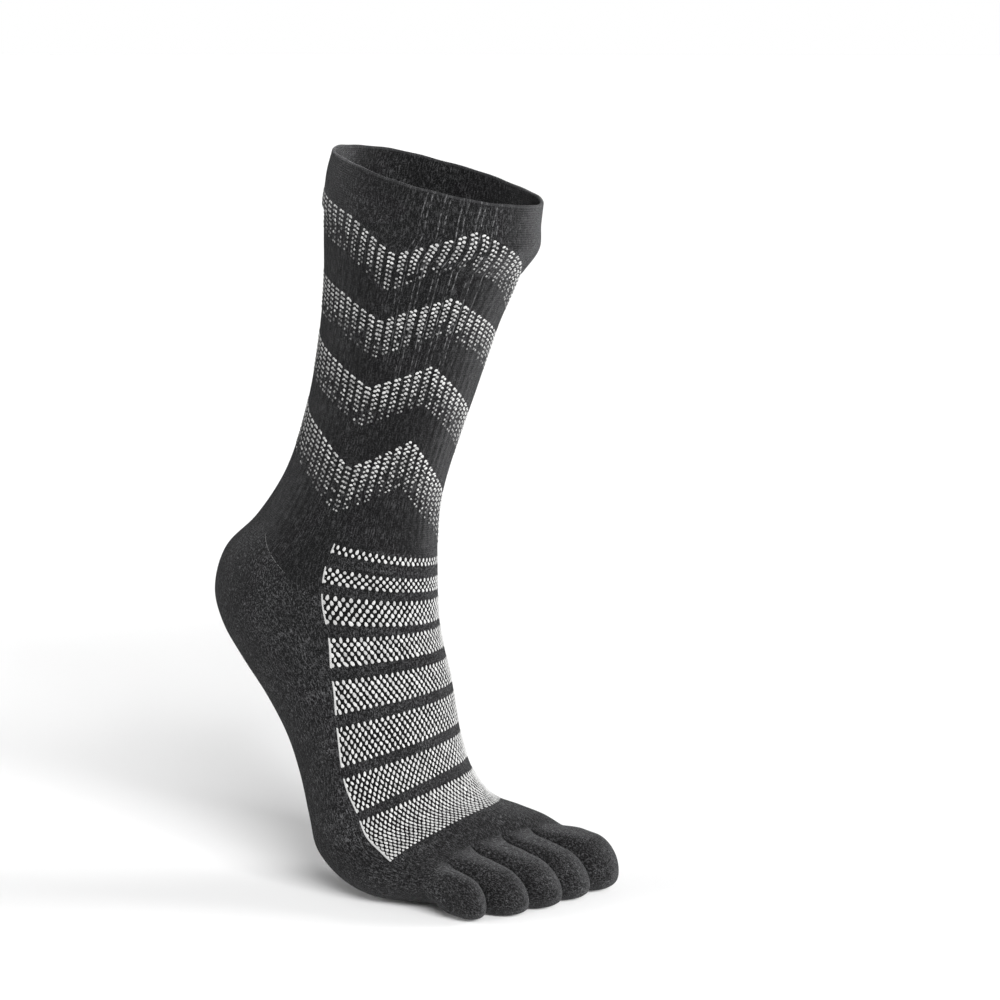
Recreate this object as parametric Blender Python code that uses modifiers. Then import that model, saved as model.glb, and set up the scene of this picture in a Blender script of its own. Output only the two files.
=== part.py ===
"""A knitted crew-height toe sock, in the form it has when worn with the heel raised.

The origin is the centre of the leg opening. +X points to the toes, +Y to the big toe's side
and +Z up. The sock is one bent tube: a table of sections gives where its front and its back
run, and every fabric piece is cut from that one surface.
"""

import bmesh
import bpy
import numpy as np

# Main sizes, in metres

SOCK_DROP = 0.335          # centre of the opening down to the floor
FOOT_REACH = 0.200         # heel to the tip of the big toe, along the floor
LEG_WIDTH = 0.092          # across the opening
FOOT_WIDTH = 0.091         # across the ball of the foot

# Fabric

KNIT_WALL = 0.0015
PANEL_WALL = 0.0015
TOE_WALL = 0.0013
CUFF_WALL = 0.0030         # the welt is doubled
CUFF_PROUD = 0.0012        # how far the welt stands out at its lower edge
CUFF_EDGE_ROUND = 0.0011
PIECE_GAP = 0.0003
MOUTH_SLOPE = 0.35         # how far a pocket's wall leans back at its mouth, for each unit of wall

# Colours

HEATHER_GREY = (0.040, 0.041, 0.043, 1.0)
DARK_WELT = (0.034, 0.035, 0.037, 1.0)
PANEL_MIX = (0.260, 0.262, 0.265, 1.0)

# Sections from the opening to the roots of the toes.
# front and back: place forward as a share of FOOT_REACH, and below the opening as a share of SOCK_DROP
# half: half the width as a share of the leg's or the foot's width
# lean: how far the front ridge lies toward the big toe, as a share of the same width
# skew: forward travel for each unit of width toward the big toe
# upper, under: squareness of the front half and of the back half, 2 is an ellipse
LEG_SECTIONS = (
    # front          back             half   lean  skew  upper under
    (0.246, 0.037, -0.250, -0.036, 0.500, 0.000, 0.00, 2.0, 2.0),    # opening
    (0.187, 0.133, -0.268, 0.045, 0.478, 0.000, 0.00, 2.0, 2.0),     # lower edge of the cuff
    (0.129, 0.207, -0.272, 0.141, 0.440, 0.000, 0.00, 2.0, 2.0),     # calf
    (0.074, 0.294, -0.293, 0.233, 0.402, 0.000, 0.00, 2.0, 2.0),     # shin
    (0.021, 0.381, -0.330, 0.324, 0.370, 0.000, 0.00, 2.0, 2.0),     # above the ankle
    (-0.011, 0.447, -0.384, 0.406, 0.364, 0.000, 0.00, 2.0, 2.0),    # ankle
)
FOOT_SECTIONS = (
    # front          back             half   lean  skew  upper under
    (-0.021, 0.502, -0.469, 0.474, 0.379, 0.000, 0.00, 2.00, 2.00),  # instep bend
    (-0.021, 0.544, -0.559, 0.525, 0.385, 0.011, 0.00, 2.00, 2.00),  # above the heel
    (-0.024, 0.585, -0.592, 0.585, 0.374, 0.033, 0.00, 2.00, 2.00),  # heel
    (-0.026, 0.624, -0.570, 0.636, 0.368, 0.055, 0.00, 2.00, 2.00),  # under the heel
    (-0.022, 0.663, -0.515, 0.683, 0.368, 0.088, 0.00, 2.00, 2.00),  # back of the arch
    (-0.012, 0.706, -0.443, 0.733, 0.379, 0.110, 0.00, 2.05, 2.05),  # arch
    (-0.009, 0.749, -0.382, 0.785, 0.401, 0.132, 0.00, 2.10, 2.10),  # front of the arch
    (-0.008, 0.795, -0.336, 0.840, 0.429, 0.154, 0.02, 2.15, 2.15),  # waist
    (0.004, 0.839, -0.295, 0.899, 0.462, 0.165, 0.05, 2.20, 2.25),   # front of the waist
    (0.038, 0.873, -0.256, 0.944, 0.484, 0.165, 0.10, 2.25, 2.40),   # back of the ball
    (0.088, 0.886, -0.167, 0.982, 0.495, 0.154, 0.17, 2.30, 2.60),   # ball
    (0.120, 0.896, -0.060, 1.000, 0.500, 0.132, 0.24, 2.30, 2.70),   # front of the ball
    (0.140, 0.904, 0.045, 1.000, 0.500, 0.110, 0.28, 2.30, 2.70),    # roots of the toes
    (0.152, 0.909, 0.145, 1.000, 0.495, 0.088, 0.30, 2.30, 2.70),    # mouths of the toe pockets
)

# The cuff's outer form above its lower edge, in the same columns
CUFF_SECTIONS = (
    # front          back             half
    (0.246, 0.037, -0.250, -0.036, 0.500),    # opening
    (0.240, 0.066, -0.264, -0.012, 0.503),    # upper part
    (0.235, 0.097, -0.275, 0.021, 0.500),     # lower part, where the welt is slack in front
)
CUFF_EDGE_ROW = 1          # the leg section that the cuff ends at

# Seams, as row numbers of the sections and angles in degrees: 0 is the front, 90 the little toe's
# side, 180 the heel
PANEL_EDGES = (
    # row and angle on the little toe's side, row and angle on the big toe's side
    (6.16, 73, 6.72, -66),     # top of the panel
    (7.73, 73, 8.00, -66),
    (9.16, 72, 8.95, -67),
    (10.52, 78, 10.10, -70),
    (11.84, 84, 11.20, -73),
    (13.21, 84, 12.60, -73),
    (14.50, 78, 13.80, -71),
    (16.56, 80, 14.95, -70),   # bottom of the panel
)
HEEL_POINT_ROW = 8.04      # where the two gore lines meet beside the panel
HEEL_POINT_SPAN = 0.30     # height of the heel pocket at its point, in rows
HEEL_TOP_ROW = 5.30        # upper gore line at the back
HEEL_BOTTOM_ROW = 10.90    # lower gore line under the heel

# Toe pockets, from the little toe to the big toe.
# from, to: the pocket's two sides at the mouth, as shares of the mouth's half width, where -1 is
# the little toe's edge and 1 the big toe's; tip_from, tip_to: its sides at the tip, as shares of
# half FOOT_WIDTH; reach: place of the tip as a share of FOOT_REACH; tall: half height of the toe
# as a share of FOOT_WIDTH
TOES = (
    # name          from    to      tip_from tip_to  reach  tall
    ("little_toe", -1.000, -0.735, -1.200, -0.800, 0.236, 0.098),
    ("fourth_toe", -0.735, -0.360, -0.800, -0.395, 0.300, 0.102),
    ("third_toe", -0.360, 0.080, -0.395, 0.070, 0.335, 0.106),
    ("second_toe", 0.080, 0.490, 0.070, 0.505, 0.357, 0.110),
    ("big_toe", 0.490, 1.000, 0.505, 1.020, 0.385, 0.135),
)
TOE_ROUND_FROM = 0.68      # share of a pocket's length where its tip starts to close
TOE_FORMED_AT = 0.45       # share of its length where it has left the foot's form

# Mesh density

AROUND_FRONT = 12          # columns across the front of the foot
AROUND_BACK = 23           # columns round the sides and the back
TOE_ARC = 6
TOE_SIDE = 3
TOE_ROWS = 11


def section_table():
    """All body sections in metres: front x, z, back x, z, half width, lean, skew, squareness."""
    rows = []
    for sections, width in ((LEG_SECTIONS, LEG_WIDTH), (FOOT_SECTIONS, FOOT_WIDTH)):
        for front_x, front_z, back_x, back_z, half, lean, skew, upper, under in sections:
            rows.append((
                front_x * FOOT_REACH, -front_z * SOCK_DROP,
                back_x * FOOT_REACH, -back_z * SOCK_DROP,
                half * width, lean * width, skew, upper, under,
            ))
    return np.array(rows)


def cuff_table(body):
    """The cuff's sections, the last one standing CUFF_PROUD outside the leg's own."""
    rows = []
    for front_x, front_z, back_x, back_z, half in CUFF_SECTIONS:
        rows.append((
            front_x * FOOT_REACH, -front_z * SOCK_DROP,
            back_x * FOOT_REACH, -back_z * SOCK_DROP,
            half * LEG_WIDTH, 0, 0, 2, 2,
        ))
    edge = body[CUFF_EDGE_ROW].copy()
    across = edge[0:2] - edge[2:4]
    outward = CUFF_PROUD * across / np.linalg.norm(across)
    edge[0:2] += outward
    edge[2:4] -= outward
    edge[4] += CUFF_PROUD
    return np.array(rows + [edge])


def read_smoothly(table, row):
    """The table's columns at fractional row numbers, on a curve through every row."""
    row = np.clip(np.asarray(row, float), 0, len(table) - 1)
    low = np.minimum(row.astype(int), len(table) - 2)
    t = (row - low)[..., None]
    before = table[np.maximum(low - 1, 0)]
    start = table[low]
    end = table[low + 1]
    after = table[np.minimum(low + 2, len(table) - 1)]
    start_slope = (end - before) / 2
    end_slope = (after - start) / 2
    return (
        start * (1 - 3 * t**2 + 2 * t**3) + end * (3 * t**2 - 2 * t**3)
        + start_slope * (t - 2 * t**2 + t**3) + end_slope * (t**3 - t**2)
    )


def surface(table, row, angle):
    """Points of the fabric's outer face at row numbers and angles in degrees."""
    columns = np.moveaxis(read_smoothly(table, row), -1, 0)
    front_x, front_z, back_x, back_z, half, lean, skew, upper, under = columns
    turn = np.radians(angle)
    power = 2 / (upper + (under - upper) * (1 - np.cos(turn)) / 2)
    ahead = np.sign(np.cos(turn)) * np.abs(np.cos(turn))**power
    aside = np.sign(np.sin(turn)) * np.abs(np.sin(turn))**power
    y = -half * aside + lean * np.maximum(ahead, 0)
    x = (front_x + back_x) / 2 + (front_x - back_x) / 2 * ahead + skew * y
    z = (front_z + back_z) / 2 + (front_z - back_z) / 2 * ahead
    return np.stack([x, y, z], axis=-1)


def rows_for(table, row, angle, distance):
    """How many rows a distance along the fabric is worth at this place."""
    step = 0.02
    along = surface(table, row + step, angle) - surface(table, row - step, angle)
    return distance * 2 * step / np.linalg.norm(along, axis=-1)


def degrees_for(table, row, angle, distance):
    """How many degrees a distance round the fabric is worth at this place."""
    around = surface(table, row, angle + 1) - surface(table, row, angle - 1)
    return distance * 2 / np.linalg.norm(around, axis=-1)


def window_corners(body, course):
    """The panel's corner rows and angles at its top or bottom, half a side seam outside them."""
    row_lat, angle_lat, row_med, angle_med = panel_edges(course)
    angle_lat = angle_lat + degrees_for(body, row_lat, angle_lat, side_seam() / 2)
    angle_med = angle_med - degrees_for(body, row_med, angle_med, side_seam() / 2)
    return row_lat, angle_lat, row_med, angle_med


def panel_edges(course):
    """Rows and angles of the panel's two side edges, at courses 0 (top) to 1 (bottom)."""
    table = np.array(PANEL_EDGES, float)
    return np.moveaxis(read_smoothly(table, np.asarray(course) * (len(table) - 1)), -1, 0)


def side_angle(row, column):
    """The angle of the panel's side edge (column 1 or 3) at a body row."""
    table = np.array(PANEL_EDGES, float)
    course = np.linspace(0, 1, 200)
    edges = read_smoothly(table, course * (len(table) - 1))
    return np.interp(row, edges[:, column - 1], edges[:, column])


def side_seam():
    """Gap at the outer face of a side seam: the two walls lean together inside by their facets."""
    facets = np.radians(140 / AROUND_FRONT + 220 / AROUND_BACK)
    return PIECE_GAP + max(KNIT_WALL, PANEL_WALL) * np.tan(facets / 2)


def mouth_seam():
    """Gap at the outer face where the pockets are knitted on, for walls that slope toward it."""
    return PIECE_GAP + MOUTH_SLOPE * max(KNIT_WALL, TOE_WALL)


def new_fabric(name, colour, roughness=0.95):
    fabric = bpy.data.materials.new(name)
    fabric.use_nodes = True
    shader = fabric.node_tree.nodes["Principled BSDF"]
    shader.inputs["Base Color"].default_value = colour
    shader.inputs["Roughness"].default_value = roughness
    shader.inputs["Metallic"].default_value = 0.0
    return fabric


def new_piece(name, points, quads, wall, fabric, collection):
    """An open fabric surface that gets its wall thickness on the inside."""
    mesh = bpy.data.meshes.new(name)
    mesh.from_pydata(points.reshape(-1, 3).tolist(), [], quads)
    edit = bmesh.new()
    edit.from_mesh(mesh)
    bmesh.ops.remove_doubles(edit, verts=edit.verts, dist=0.00001)
    loose = [vert for vert in edit.verts if not vert.link_faces]
    bmesh.ops.delete(edit, geom=loose, context="VERTS")
    edit.to_mesh(mesh)
    edit.free()
    mesh.shade_smooth()
    mesh.set_sharp_from_angle(angle=np.radians(50))
    mesh.materials.append(fabric)
    piece = bpy.data.objects.new(name, mesh)
    collection.objects.link(piece)
    knit = piece.modifiers.new("Knit thickness", "SOLIDIFY")
    knit.thickness = wall
    knit.offset = -1
    knit.use_even_offset = True
    knit.use_quality_normals = True
    return piece


def grid_quads(rows, columns, closed, first=0):
    """Quads between neighbouring rows and columns, facing out of the tube."""
    index = np.arange(rows * columns).reshape(rows, columns) + first
    right = np.roll(index, -1, axis=1) if closed else index[:, 1:]
    left = index if closed else index[:, :-1]
    quads = np.stack([left[:-1], right[:-1], right[1:], left[1:]], axis=-1)
    return quads.reshape(-1, 4).tolist()


def make_cuff(body, fabric, collection):
    table = cuff_table(body)
    columns = AROUND_FRONT + AROUND_BACK
    row = np.linspace(0, len(table) - 1, 6)[:, None]
    angle = np.linspace(0, 360, columns, endpoint=False)[None]
    points = surface(table, row, angle)
    quads = grid_quads(len(row), columns, closed=True)
    cuff = new_piece("cuff", points, quads, CUFF_WALL, fabric, collection)
    fold = cuff.modifiers.new("Rounded fold", "BEVEL")
    fold.width = CUFF_EDGE_ROUND
    fold.segments = 2
    fold.limit_method = "ANGLE"
    fold.angle_limit = np.radians(60)
    return cuff


def upper_gore(angle):
    """Row of the upper gore line, from the heel pocket's point (share 0) to the back (share 1)."""
    share = heel_share(angle)
    return HEEL_POINT_ROW - HEEL_POINT_SPAN / 2 + (HEEL_TOP_ROW - HEEL_POINT_ROW) * share


def lower_gore(angle):
    share = heel_share(angle)
    return HEEL_POINT_ROW + HEEL_POINT_SPAN / 2 + (HEEL_BOTTOM_ROW - HEEL_POINT_ROW) * share


def heel_share(angle):
    """0 at the panel's edges and 1 at the back of the heel."""
    lateral = side_angle(HEEL_POINT_ROW, 1)
    medial = 360 + side_angle(HEEL_POINT_ROW, 3)
    middle = (lateral + medial) / 2
    share = 1 - np.abs(np.asarray(angle) - middle) / (medial - middle)
    return np.clip(np.sin(np.clip(share, 0, 1) * np.pi / 2)**1.15, 0, 1)


def back_columns(body, row):
    """First and last angle of the back columns at one row, half a seam off the panel's edges."""
    lateral = side_angle(row, 1)
    medial = 360 + side_angle(row, 3)
    lateral = lateral + degrees_for(body, row, lateral, side_seam() / 2)
    medial = medial - degrees_for(body, row, medial, side_seam() / 2)
    return lateral, medial


def back_strip(body, top, bottom, count):
    """A grid round the sides and back between two seam lines given as functions of the angle.

    Its first and last columns follow the panel's side edges, so each grid point's row and
    angle depend on each other and settle in a few rounds.
    """
    around = np.linspace(0, 1, AROUND_BACK + 1)
    down = np.linspace(0, 1, count)[:, None]
    angle = np.broadcast_to(75 + 215 * around, (count, AROUND_BACK + 1)).copy()
    for _ in range(12):
        row = top(angle) + (bottom(angle) - top(angle)) * down
        lateral, medial = back_columns(body, row)
        angle = lateral + (medial - lateral) * around
    return surface(body, row, angle)


def make_leg(body, fabric, collection):
    """A tube down to the panel's top edge, with the sides and back going on to the heel pocket."""
    start = CUFF_EDGE_ROW
    half_gap = PIECE_GAP / 2
    row_lat, angle_lat, row_med, angle_med = window_corners(body, 0.0)
    front = np.linspace(0, 1, AROUND_FRONT + 1)
    back = np.linspace(0, 1, AROUND_BACK + 1)
    front_angle = angle_med + (angle_lat - angle_med) * front
    front_end = row_med + (row_lat - row_med) * front
    back_angle = angle_lat + (360 + angle_med - angle_lat) * back
    # The seam that ends the full tube rises toward the back, above the heel pocket
    rise = np.sin(back * np.pi)**2
    level = row_lat + (row_med - row_lat) * back
    back_end = level + (HEEL_TOP_ROW - 0.45 - level) * rise
    angle = np.concatenate([front_angle, back_angle[1:-1]])
    end = np.concatenate([front_end, back_end[1:-1]])
    end -= rows_for(body, end, angle, half_gap)
    begin = start + rows_for(body, start, angle, PIECE_GAP)
    count = 12
    down = np.linspace(0, 1, count)[:, None]
    tube = surface(body, begin + (end - begin) * down, angle[None] + 0 * down)
    columns = len(angle)
    quads = grid_quads(count, columns, closed=True)

    def join(angles):
        return np.interp(angles, back_angle, back_end) - rows_for(body, level[0], 180, half_gap)

    def finish(angles):
        row = upper_gore(angles)
        return row - rows_for(body, row, angles, half_gap)

    strip = back_strip(body, join, finish, 6)
    strip[0, 0] = tube[-1, AROUND_FRONT]
    strip[0, -1] = tube[-1, 0]
    strip[0, 1:-1] = tube[-1, AROUND_FRONT + 1:]
    quads += grid_quads(6, AROUND_BACK + 1, closed=False, first=tube.shape[0] * columns)
    points = np.concatenate([tube.reshape(-1, 3), strip.reshape(-1, 3)])
    return new_piece("leg", points, quads, KNIT_WALL, fabric, collection)


def make_heel(body, fabric, collection):
    def top(angles):
        row = upper_gore(angles)
        return row + rows_for(body, row, angles, PIECE_GAP / 2)

    def bottom(angles):
        row = lower_gore(angles)
        return row - rows_for(body, row, angles, PIECE_GAP / 2)

    count = 12
    points = back_strip(body, top, bottom, count)
    quads = grid_quads(count, AROUND_BACK + 1, closed=False)
    return new_piece("heel", points, quads, KNIT_WALL, fabric, collection)


def make_panel(body, fabric, collection):
    """The instep panel: its courses run from the little toe's side to the big toe's side."""
    count = 18
    course = np.linspace(0, 1, count)[:, None]
    across = np.linspace(0, 1, AROUND_FRONT + 1)[None]
    row_lat, angle_lat, row_med, angle_med = panel_edges(course)
    row = row_med + (row_lat - row_med) * across
    angle = angle_med + (angle_lat - angle_med) * across
    trim_rows = rows_for(body, row, angle, PIECE_GAP / 2)
    row = row + trim_rows * (1 - 2 * course)
    trim_angle = degrees_for(body, row, angle, side_seam() / 2)
    angle = angle + trim_angle * (1 - 2 * across)
    points = surface(body, row, angle)
    quads = grid_quads(count, AROUND_FRONT + 1, closed=False)
    return new_piece("instep_panel", points, quads, PANEL_WALL, fabric, collection)


def make_foot(body, fabric, collection):
    """Sole and sides up to the panel, then a closed ring on to the mouths of the toes."""
    last = len(body) - 1
    row_lat, angle_lat, row_med, angle_med = window_corners(body, 1.0)
    half_gap = PIECE_GAP / 2
    front = np.linspace(0, 1, AROUND_FRONT + 1)
    back = np.linspace(0, 1, AROUND_BACK + 1)
    level = row_lat + (row_med - row_lat) * back

    def begin(angles):
        row = lower_gore(angles)
        return row + rows_for(body, row, angles, half_gap)

    def join(angles):
        share = (np.asarray(angles) - angle_lat) / (360 + angle_med - angle_lat)
        return row_lat + (row_med - row_lat) * np.clip(share, 0, 1)

    rows_above = 16
    strip = back_strip(body, begin, join, rows_above)
    quads = grid_quads(rows_above, AROUND_BACK + 1, closed=False)
    front_angle = angle_med + (angle_lat - angle_med) * front
    back_angle = angle_lat + (360 + angle_med - angle_lat) * back
    start = row_med + (row_lat - row_med) * front
    start = start + rows_for(body, start, front_angle, half_gap)
    angle = np.concatenate([front_angle, back_angle[1:-1]])
    begin_row = np.concatenate([start, level[1:-1]])
    finish = last - rows_for(body, last - 0.05, angle, mouth_seam())
    rows_below = 9
    down = np.linspace(0, 1, rows_below)[:, None]
    ring = surface(body, begin_row + (finish - begin_row) * down, angle[None] + 0 * down)
    strip[-1, 0] = ring[0, AROUND_FRONT]
    strip[-1, -1] = ring[0, 0]
    strip[-1, 1:-1] = ring[0, AROUND_FRONT + 1:]
    first = strip.shape[0] * strip.shape[1]
    quads += grid_quads(rows_below, len(angle), closed=True, first=first)
    points = np.concatenate([strip.reshape(-1, 3), ring.reshape(-1, 3)])
    return new_piece("foot", points, quads, KNIT_WALL, fabric, collection)


def mouth_angle(body, share, upper_side):
    """The angle at which the mouth reaches a share of its half width, -1 to 1, above or below."""
    angles = np.linspace(-80, 90, 681) if upper_side else np.linspace(270, 90, 681)
    across = surface(body, len(body) - 1.0, angles)[:, 1] / body[-1, 4]
    return np.interp(share, across[::-1], angles[::-1])


def mouth_slice(body, low, high):
    """The closed ring of one toe's part of the mouth: fabric above and below, a web at each side."""
    last = len(body) - 1
    web = np.linspace(0, 1, TOE_SIDE + 2)[1:-1, None]
    arc = 2 * TOE_ARC + TOE_SIDE
    if low <= -1:
        angle = np.linspace(mouth_angle(body, high, True), mouth_angle(body, high, False), arc)
        outer = surface(body, np.full(arc, last), angle)
        return np.concatenate([outer, outer[-1] + (outer[0] - outer[-1]) * web])
    if high >= 1:
        angle = np.linspace(mouth_angle(body, low, False) - 360, mouth_angle(body, low, True), arc)
        outer = surface(body, np.full(arc, last), angle)
        return np.concatenate([outer, outer[-1] + (outer[0] - outer[-1]) * web])
    shares = np.linspace(high, low, TOE_ARC)
    above = surface(body, np.full(TOE_ARC, last), mouth_angle(body, shares, True))
    below = surface(body, np.full(TOE_ARC, last), mouth_angle(body, shares[::-1], False))
    return np.concatenate([
        above, above[-1] + (below[0] - above[-1]) * web,
        below, below[-1] + (above[0] - below[-1]) * web,
    ])


def make_toe(body, toe, fabric, collection):
    """A pocket that starts as its slice of the mouth and becomes a round closed toe."""
    name, low, high, tip_low, tip_high, reach, tall = toe
    trim = PIECE_GAP / 2 / body[-1, 4]
    low = low if low <= -1 else low + trim
    high = high if high >= 1 else high - trim
    ring = mouth_slice(body, low, high)
    centre = (ring.max(axis=0) + ring.min(axis=0)) / 2
    offset = ring - centre
    base_half = np.ptp(ring[:, 1]) / 2
    base_tall = np.ptp(ring[:, 2]) / 2
    turn = np.arctan2(offset[:, 2] / base_tall, offset[:, 1] / base_half)
    own_half = (tip_high - tip_low) * FOOT_WIDTH / 4 - PIECE_GAP / 2
    own_tall = tall * FOOT_WIDTH
    tip_middle = (tip_low + tip_high) * FOOT_WIDTH / 4
    end = np.array([reach * FOOT_REACH, tip_middle, -SOCK_DROP + own_tall])

    along = np.sin(np.linspace(0, 1, TOE_ROWS) * np.pi / 2)
    formed = np.clip(along / TOE_FORMED_AT, 0, 1)
    formed = formed**2 * (3 - 2 * formed)
    closing = np.clip((along - TOE_ROUND_FROM) / (1 - TOE_ROUND_FROM), 0, 1)
    closing = np.sqrt(1 - closing**2)
    path = centre + (end - centre) * along[:, None]
    path[:, 2] = centre[2] + (end[2] - centre[2]) * (1 - (1 - along)**2)
    half_at = base_half + (own_half - base_half) * along
    tall_at = base_tall + (own_tall - base_tall) * formed
    path[:, 2] -= 0.35 * tall_at * (1 - closing)
    size = np.stack([np.ones_like(along), half_at, tall_at], axis=-1) * closing[:, None]
    slice_form = np.stack([offset[:, 0], offset[:, 1] / base_half, offset[:, 2] / base_tall], -1)
    round_form = np.stack([np.zeros_like(turn), np.cos(turn), np.sin(turn)], -1)
    blend = formed[:, None, None]
    form = slice_form * (1 - blend) + round_form * blend
    points = path[:, None] + form * size[:, None]
    quads = grid_quads(TOE_ROWS, len(ring), closed=True)
    return new_piece(name, points, quads, TOE_WALL, fabric, collection)


def clear_scene():
    for old in list(bpy.data.objects):
        bpy.data.objects.remove(old, do_unlink=True)


def main():
    clear_scene()
    collection = bpy.data.collections.new("Toe sock")
    bpy.context.scene.collection.children.link(collection)
    body = section_table()
    make_cuff(body, new_fabric("Welt fabric", DARK_WELT), collection)
    make_leg(body, new_fabric("Leg fabric", HEATHER_GREY), collection)
    make_heel(body, new_fabric("Heel fabric", HEATHER_GREY), collection)
    make_panel(body, new_fabric("Panel fabric", PANEL_MIX), collection)
    make_foot(body, new_fabric("Foot fabric", HEATHER_GREY), collection)
    for toe in TOES:
        make_toe(body, toe, new_fabric(toe[0] + " fabric", HEATHER_GREY), collection)


main()
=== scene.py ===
# %% [markdown]
# # A knitted toe sock in its worn form
# The sock is a dark heather tube with a doubled welt, a ribbed leg with four white zigzag
# bands, a plain heel pocket, a mesh panel on the instep, a plain foot and five toe pockets.
# The imported CAD model fixes its size and place; this lesson gives it fine knitted surfaces.

import bmesh
import bpy
import numpy as np
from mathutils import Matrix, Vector


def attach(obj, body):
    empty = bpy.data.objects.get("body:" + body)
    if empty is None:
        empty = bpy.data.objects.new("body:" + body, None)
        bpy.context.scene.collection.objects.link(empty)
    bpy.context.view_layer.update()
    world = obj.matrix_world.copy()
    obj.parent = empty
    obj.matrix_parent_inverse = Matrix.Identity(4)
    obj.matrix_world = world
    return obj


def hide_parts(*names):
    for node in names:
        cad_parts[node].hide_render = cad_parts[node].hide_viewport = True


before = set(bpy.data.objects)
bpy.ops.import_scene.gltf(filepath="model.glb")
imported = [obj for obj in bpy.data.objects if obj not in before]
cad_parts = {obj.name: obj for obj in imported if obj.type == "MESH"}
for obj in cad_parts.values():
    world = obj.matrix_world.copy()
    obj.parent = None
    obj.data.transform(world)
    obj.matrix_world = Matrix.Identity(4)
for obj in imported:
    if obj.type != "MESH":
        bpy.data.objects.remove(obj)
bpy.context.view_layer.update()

# %% [markdown]
# ## The camera
# A product shot is taken with a long lens from some way off, so the two sides of the leg
# stay nearly parallel. The camera stands on the little toe's side, turned 27 degrees from
# it toward the toes, and looks slightly down.

# %% Place the camera
LOOK_AT = Vector((0.0319, 0.0, -0.1470))
CAMERA_DISTANCE = 1.6
LENS_MM, SENSOR_MM = 125.2, 36.0
TURN, RAISE = np.radians(27.0), np.radians(7.5)


def new_object(name, data):
    """An object in the scene, at the origin."""
    made = bpy.data.objects.new(name, data)
    bpy.context.scene.collection.objects.link(made)
    return made


def toward(turn, rise):
    """A unit vector, turned from the little toe's side toward the toes and raised."""
    return Vector((np.sin(turn) * np.cos(rise), -np.cos(turn) * np.cos(rise), np.sin(rise)))


def face(thing, target):
    """Turns a camera or a lamp, at its place, to face a target."""
    thing.rotation_euler = (target - thing.location).to_track_quat("-Z", "Y").to_euler()


camera = new_object("camera", bpy.data.cameras.new("camera"))
camera.data.lens = LENS_MM
camera.data.sensor_width = SENSOR_MM
camera.location = LOOK_AT + CAMERA_DISTANCE * toward(TURN, RAISE)
face(camera, LOOK_AT)
bpy.context.scene.camera = camera
print("camera at", [round(value, 3) for value in camera.location])

# %% [markdown]
# ## The form of the fabric
# One surface carries every piece. It is a stack of leaning rings from the opening to the
# mouth of the toes: each ring has a front point, a back point, a width and a squareness.
# Reading the stack at any row, and round a ring at any angle, gives a point of the fabric.
# Angle 0 is the front, 90 the little toe's side and 180 the back.

# %% The sizes and the ring tables
SOCK_DROP = 0.335       # from the middle of the opening to the toes' underside
FOOT_REACH = 0.200
LEG_WIDTH = 0.092
FOOT_WIDTH = 0.091
KNIT_WALL = 0.0015
WELT_EDGE = 0.0018      # thickness that shows at the rim, where the fold is pressed flat
TOE_WALL = 0.0013
CUFF_PROUD = 0.0006     # how far the welt stands out at its lower edge

# front x, front z, back x and back z, where x is a share of FOOT_REACH and z a share of
# SOCK_DROP below the opening; half width and lean, as shares of the width; skew; upper and
# under squareness, where 2 is round
LEG_RINGS = (
    (0.246, 0.037, -0.250, -0.036, 0.500, 0.0, 0.0, 2.0, 2.0),
    (0.187, 0.133, -0.268, 0.045, 0.478, 0.0, 0.0, 2.0, 2.0),
    (0.129, 0.207, -0.272, 0.141, 0.440, 0.0, 0.0, 2.0, 2.0),
    (0.074, 0.294, -0.293, 0.233, 0.402, 0.0, 0.0, 2.0, 2.0),
    (0.021, 0.381, -0.330, 0.324, 0.370, 0.0, 0.0, 2.0, 2.0),
    (-0.011, 0.447, -0.384, 0.406, 0.364, 0.0, 0.0, 2.0, 2.0),
)
FOOT_RINGS = (
    (-0.021, 0.502, -0.469, 0.474, 0.379, 0.000, 0.00, 2.00, 2.00),
    (-0.021, 0.544, -0.559, 0.525, 0.385, 0.011, 0.00, 2.00, 2.00),
    (-0.024, 0.585, -0.592, 0.585, 0.374, 0.033, 0.00, 2.00, 2.00),
    (-0.026, 0.624, -0.570, 0.636, 0.368, 0.055, 0.00, 2.00, 2.00),
    (-0.022, 0.663, -0.515, 0.683, 0.368, 0.088, 0.00, 2.00, 2.00),
    (-0.012, 0.706, -0.443, 0.733, 0.379, 0.110, 0.00, 2.05, 2.05),
    (-0.009, 0.749, -0.382, 0.785, 0.401, 0.132, 0.00, 2.10, 2.10),
    (-0.008, 0.795, -0.336, 0.840, 0.429, 0.154, 0.02, 2.15, 2.15),
    (0.004, 0.839, -0.295, 0.899, 0.462, 0.165, 0.05, 2.20, 2.25),
    (0.038, 0.873, -0.256, 0.944, 0.484, 0.165, 0.10, 2.25, 2.40),
    (0.088, 0.886, -0.167, 0.982, 0.495, 0.154, 0.17, 2.30, 2.60),
    (0.120, 0.896, -0.060, 1.000, 0.500, 0.132, 0.24, 2.30, 2.70),
    (0.140, 0.904, 0.045, 1.000, 0.500, 0.110, 0.28, 2.30, 2.70),
    (0.152, 0.909, 0.145, 1.000, 0.495, 0.088, 0.30, 2.30, 2.70),
)
# front x, front z, back x, back z, half width, in the same shares; the fourth ring is the
# leg's own ring 1, where the welt is turned in
CUFF_RINGS = (
    (0.246, 0.037, -0.250, -0.036, 0.500),
    (0.240, 0.066, -0.262, -0.012, 0.503),
    (0.235, 0.097, -0.270, 0.021, 0.500),
)


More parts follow.
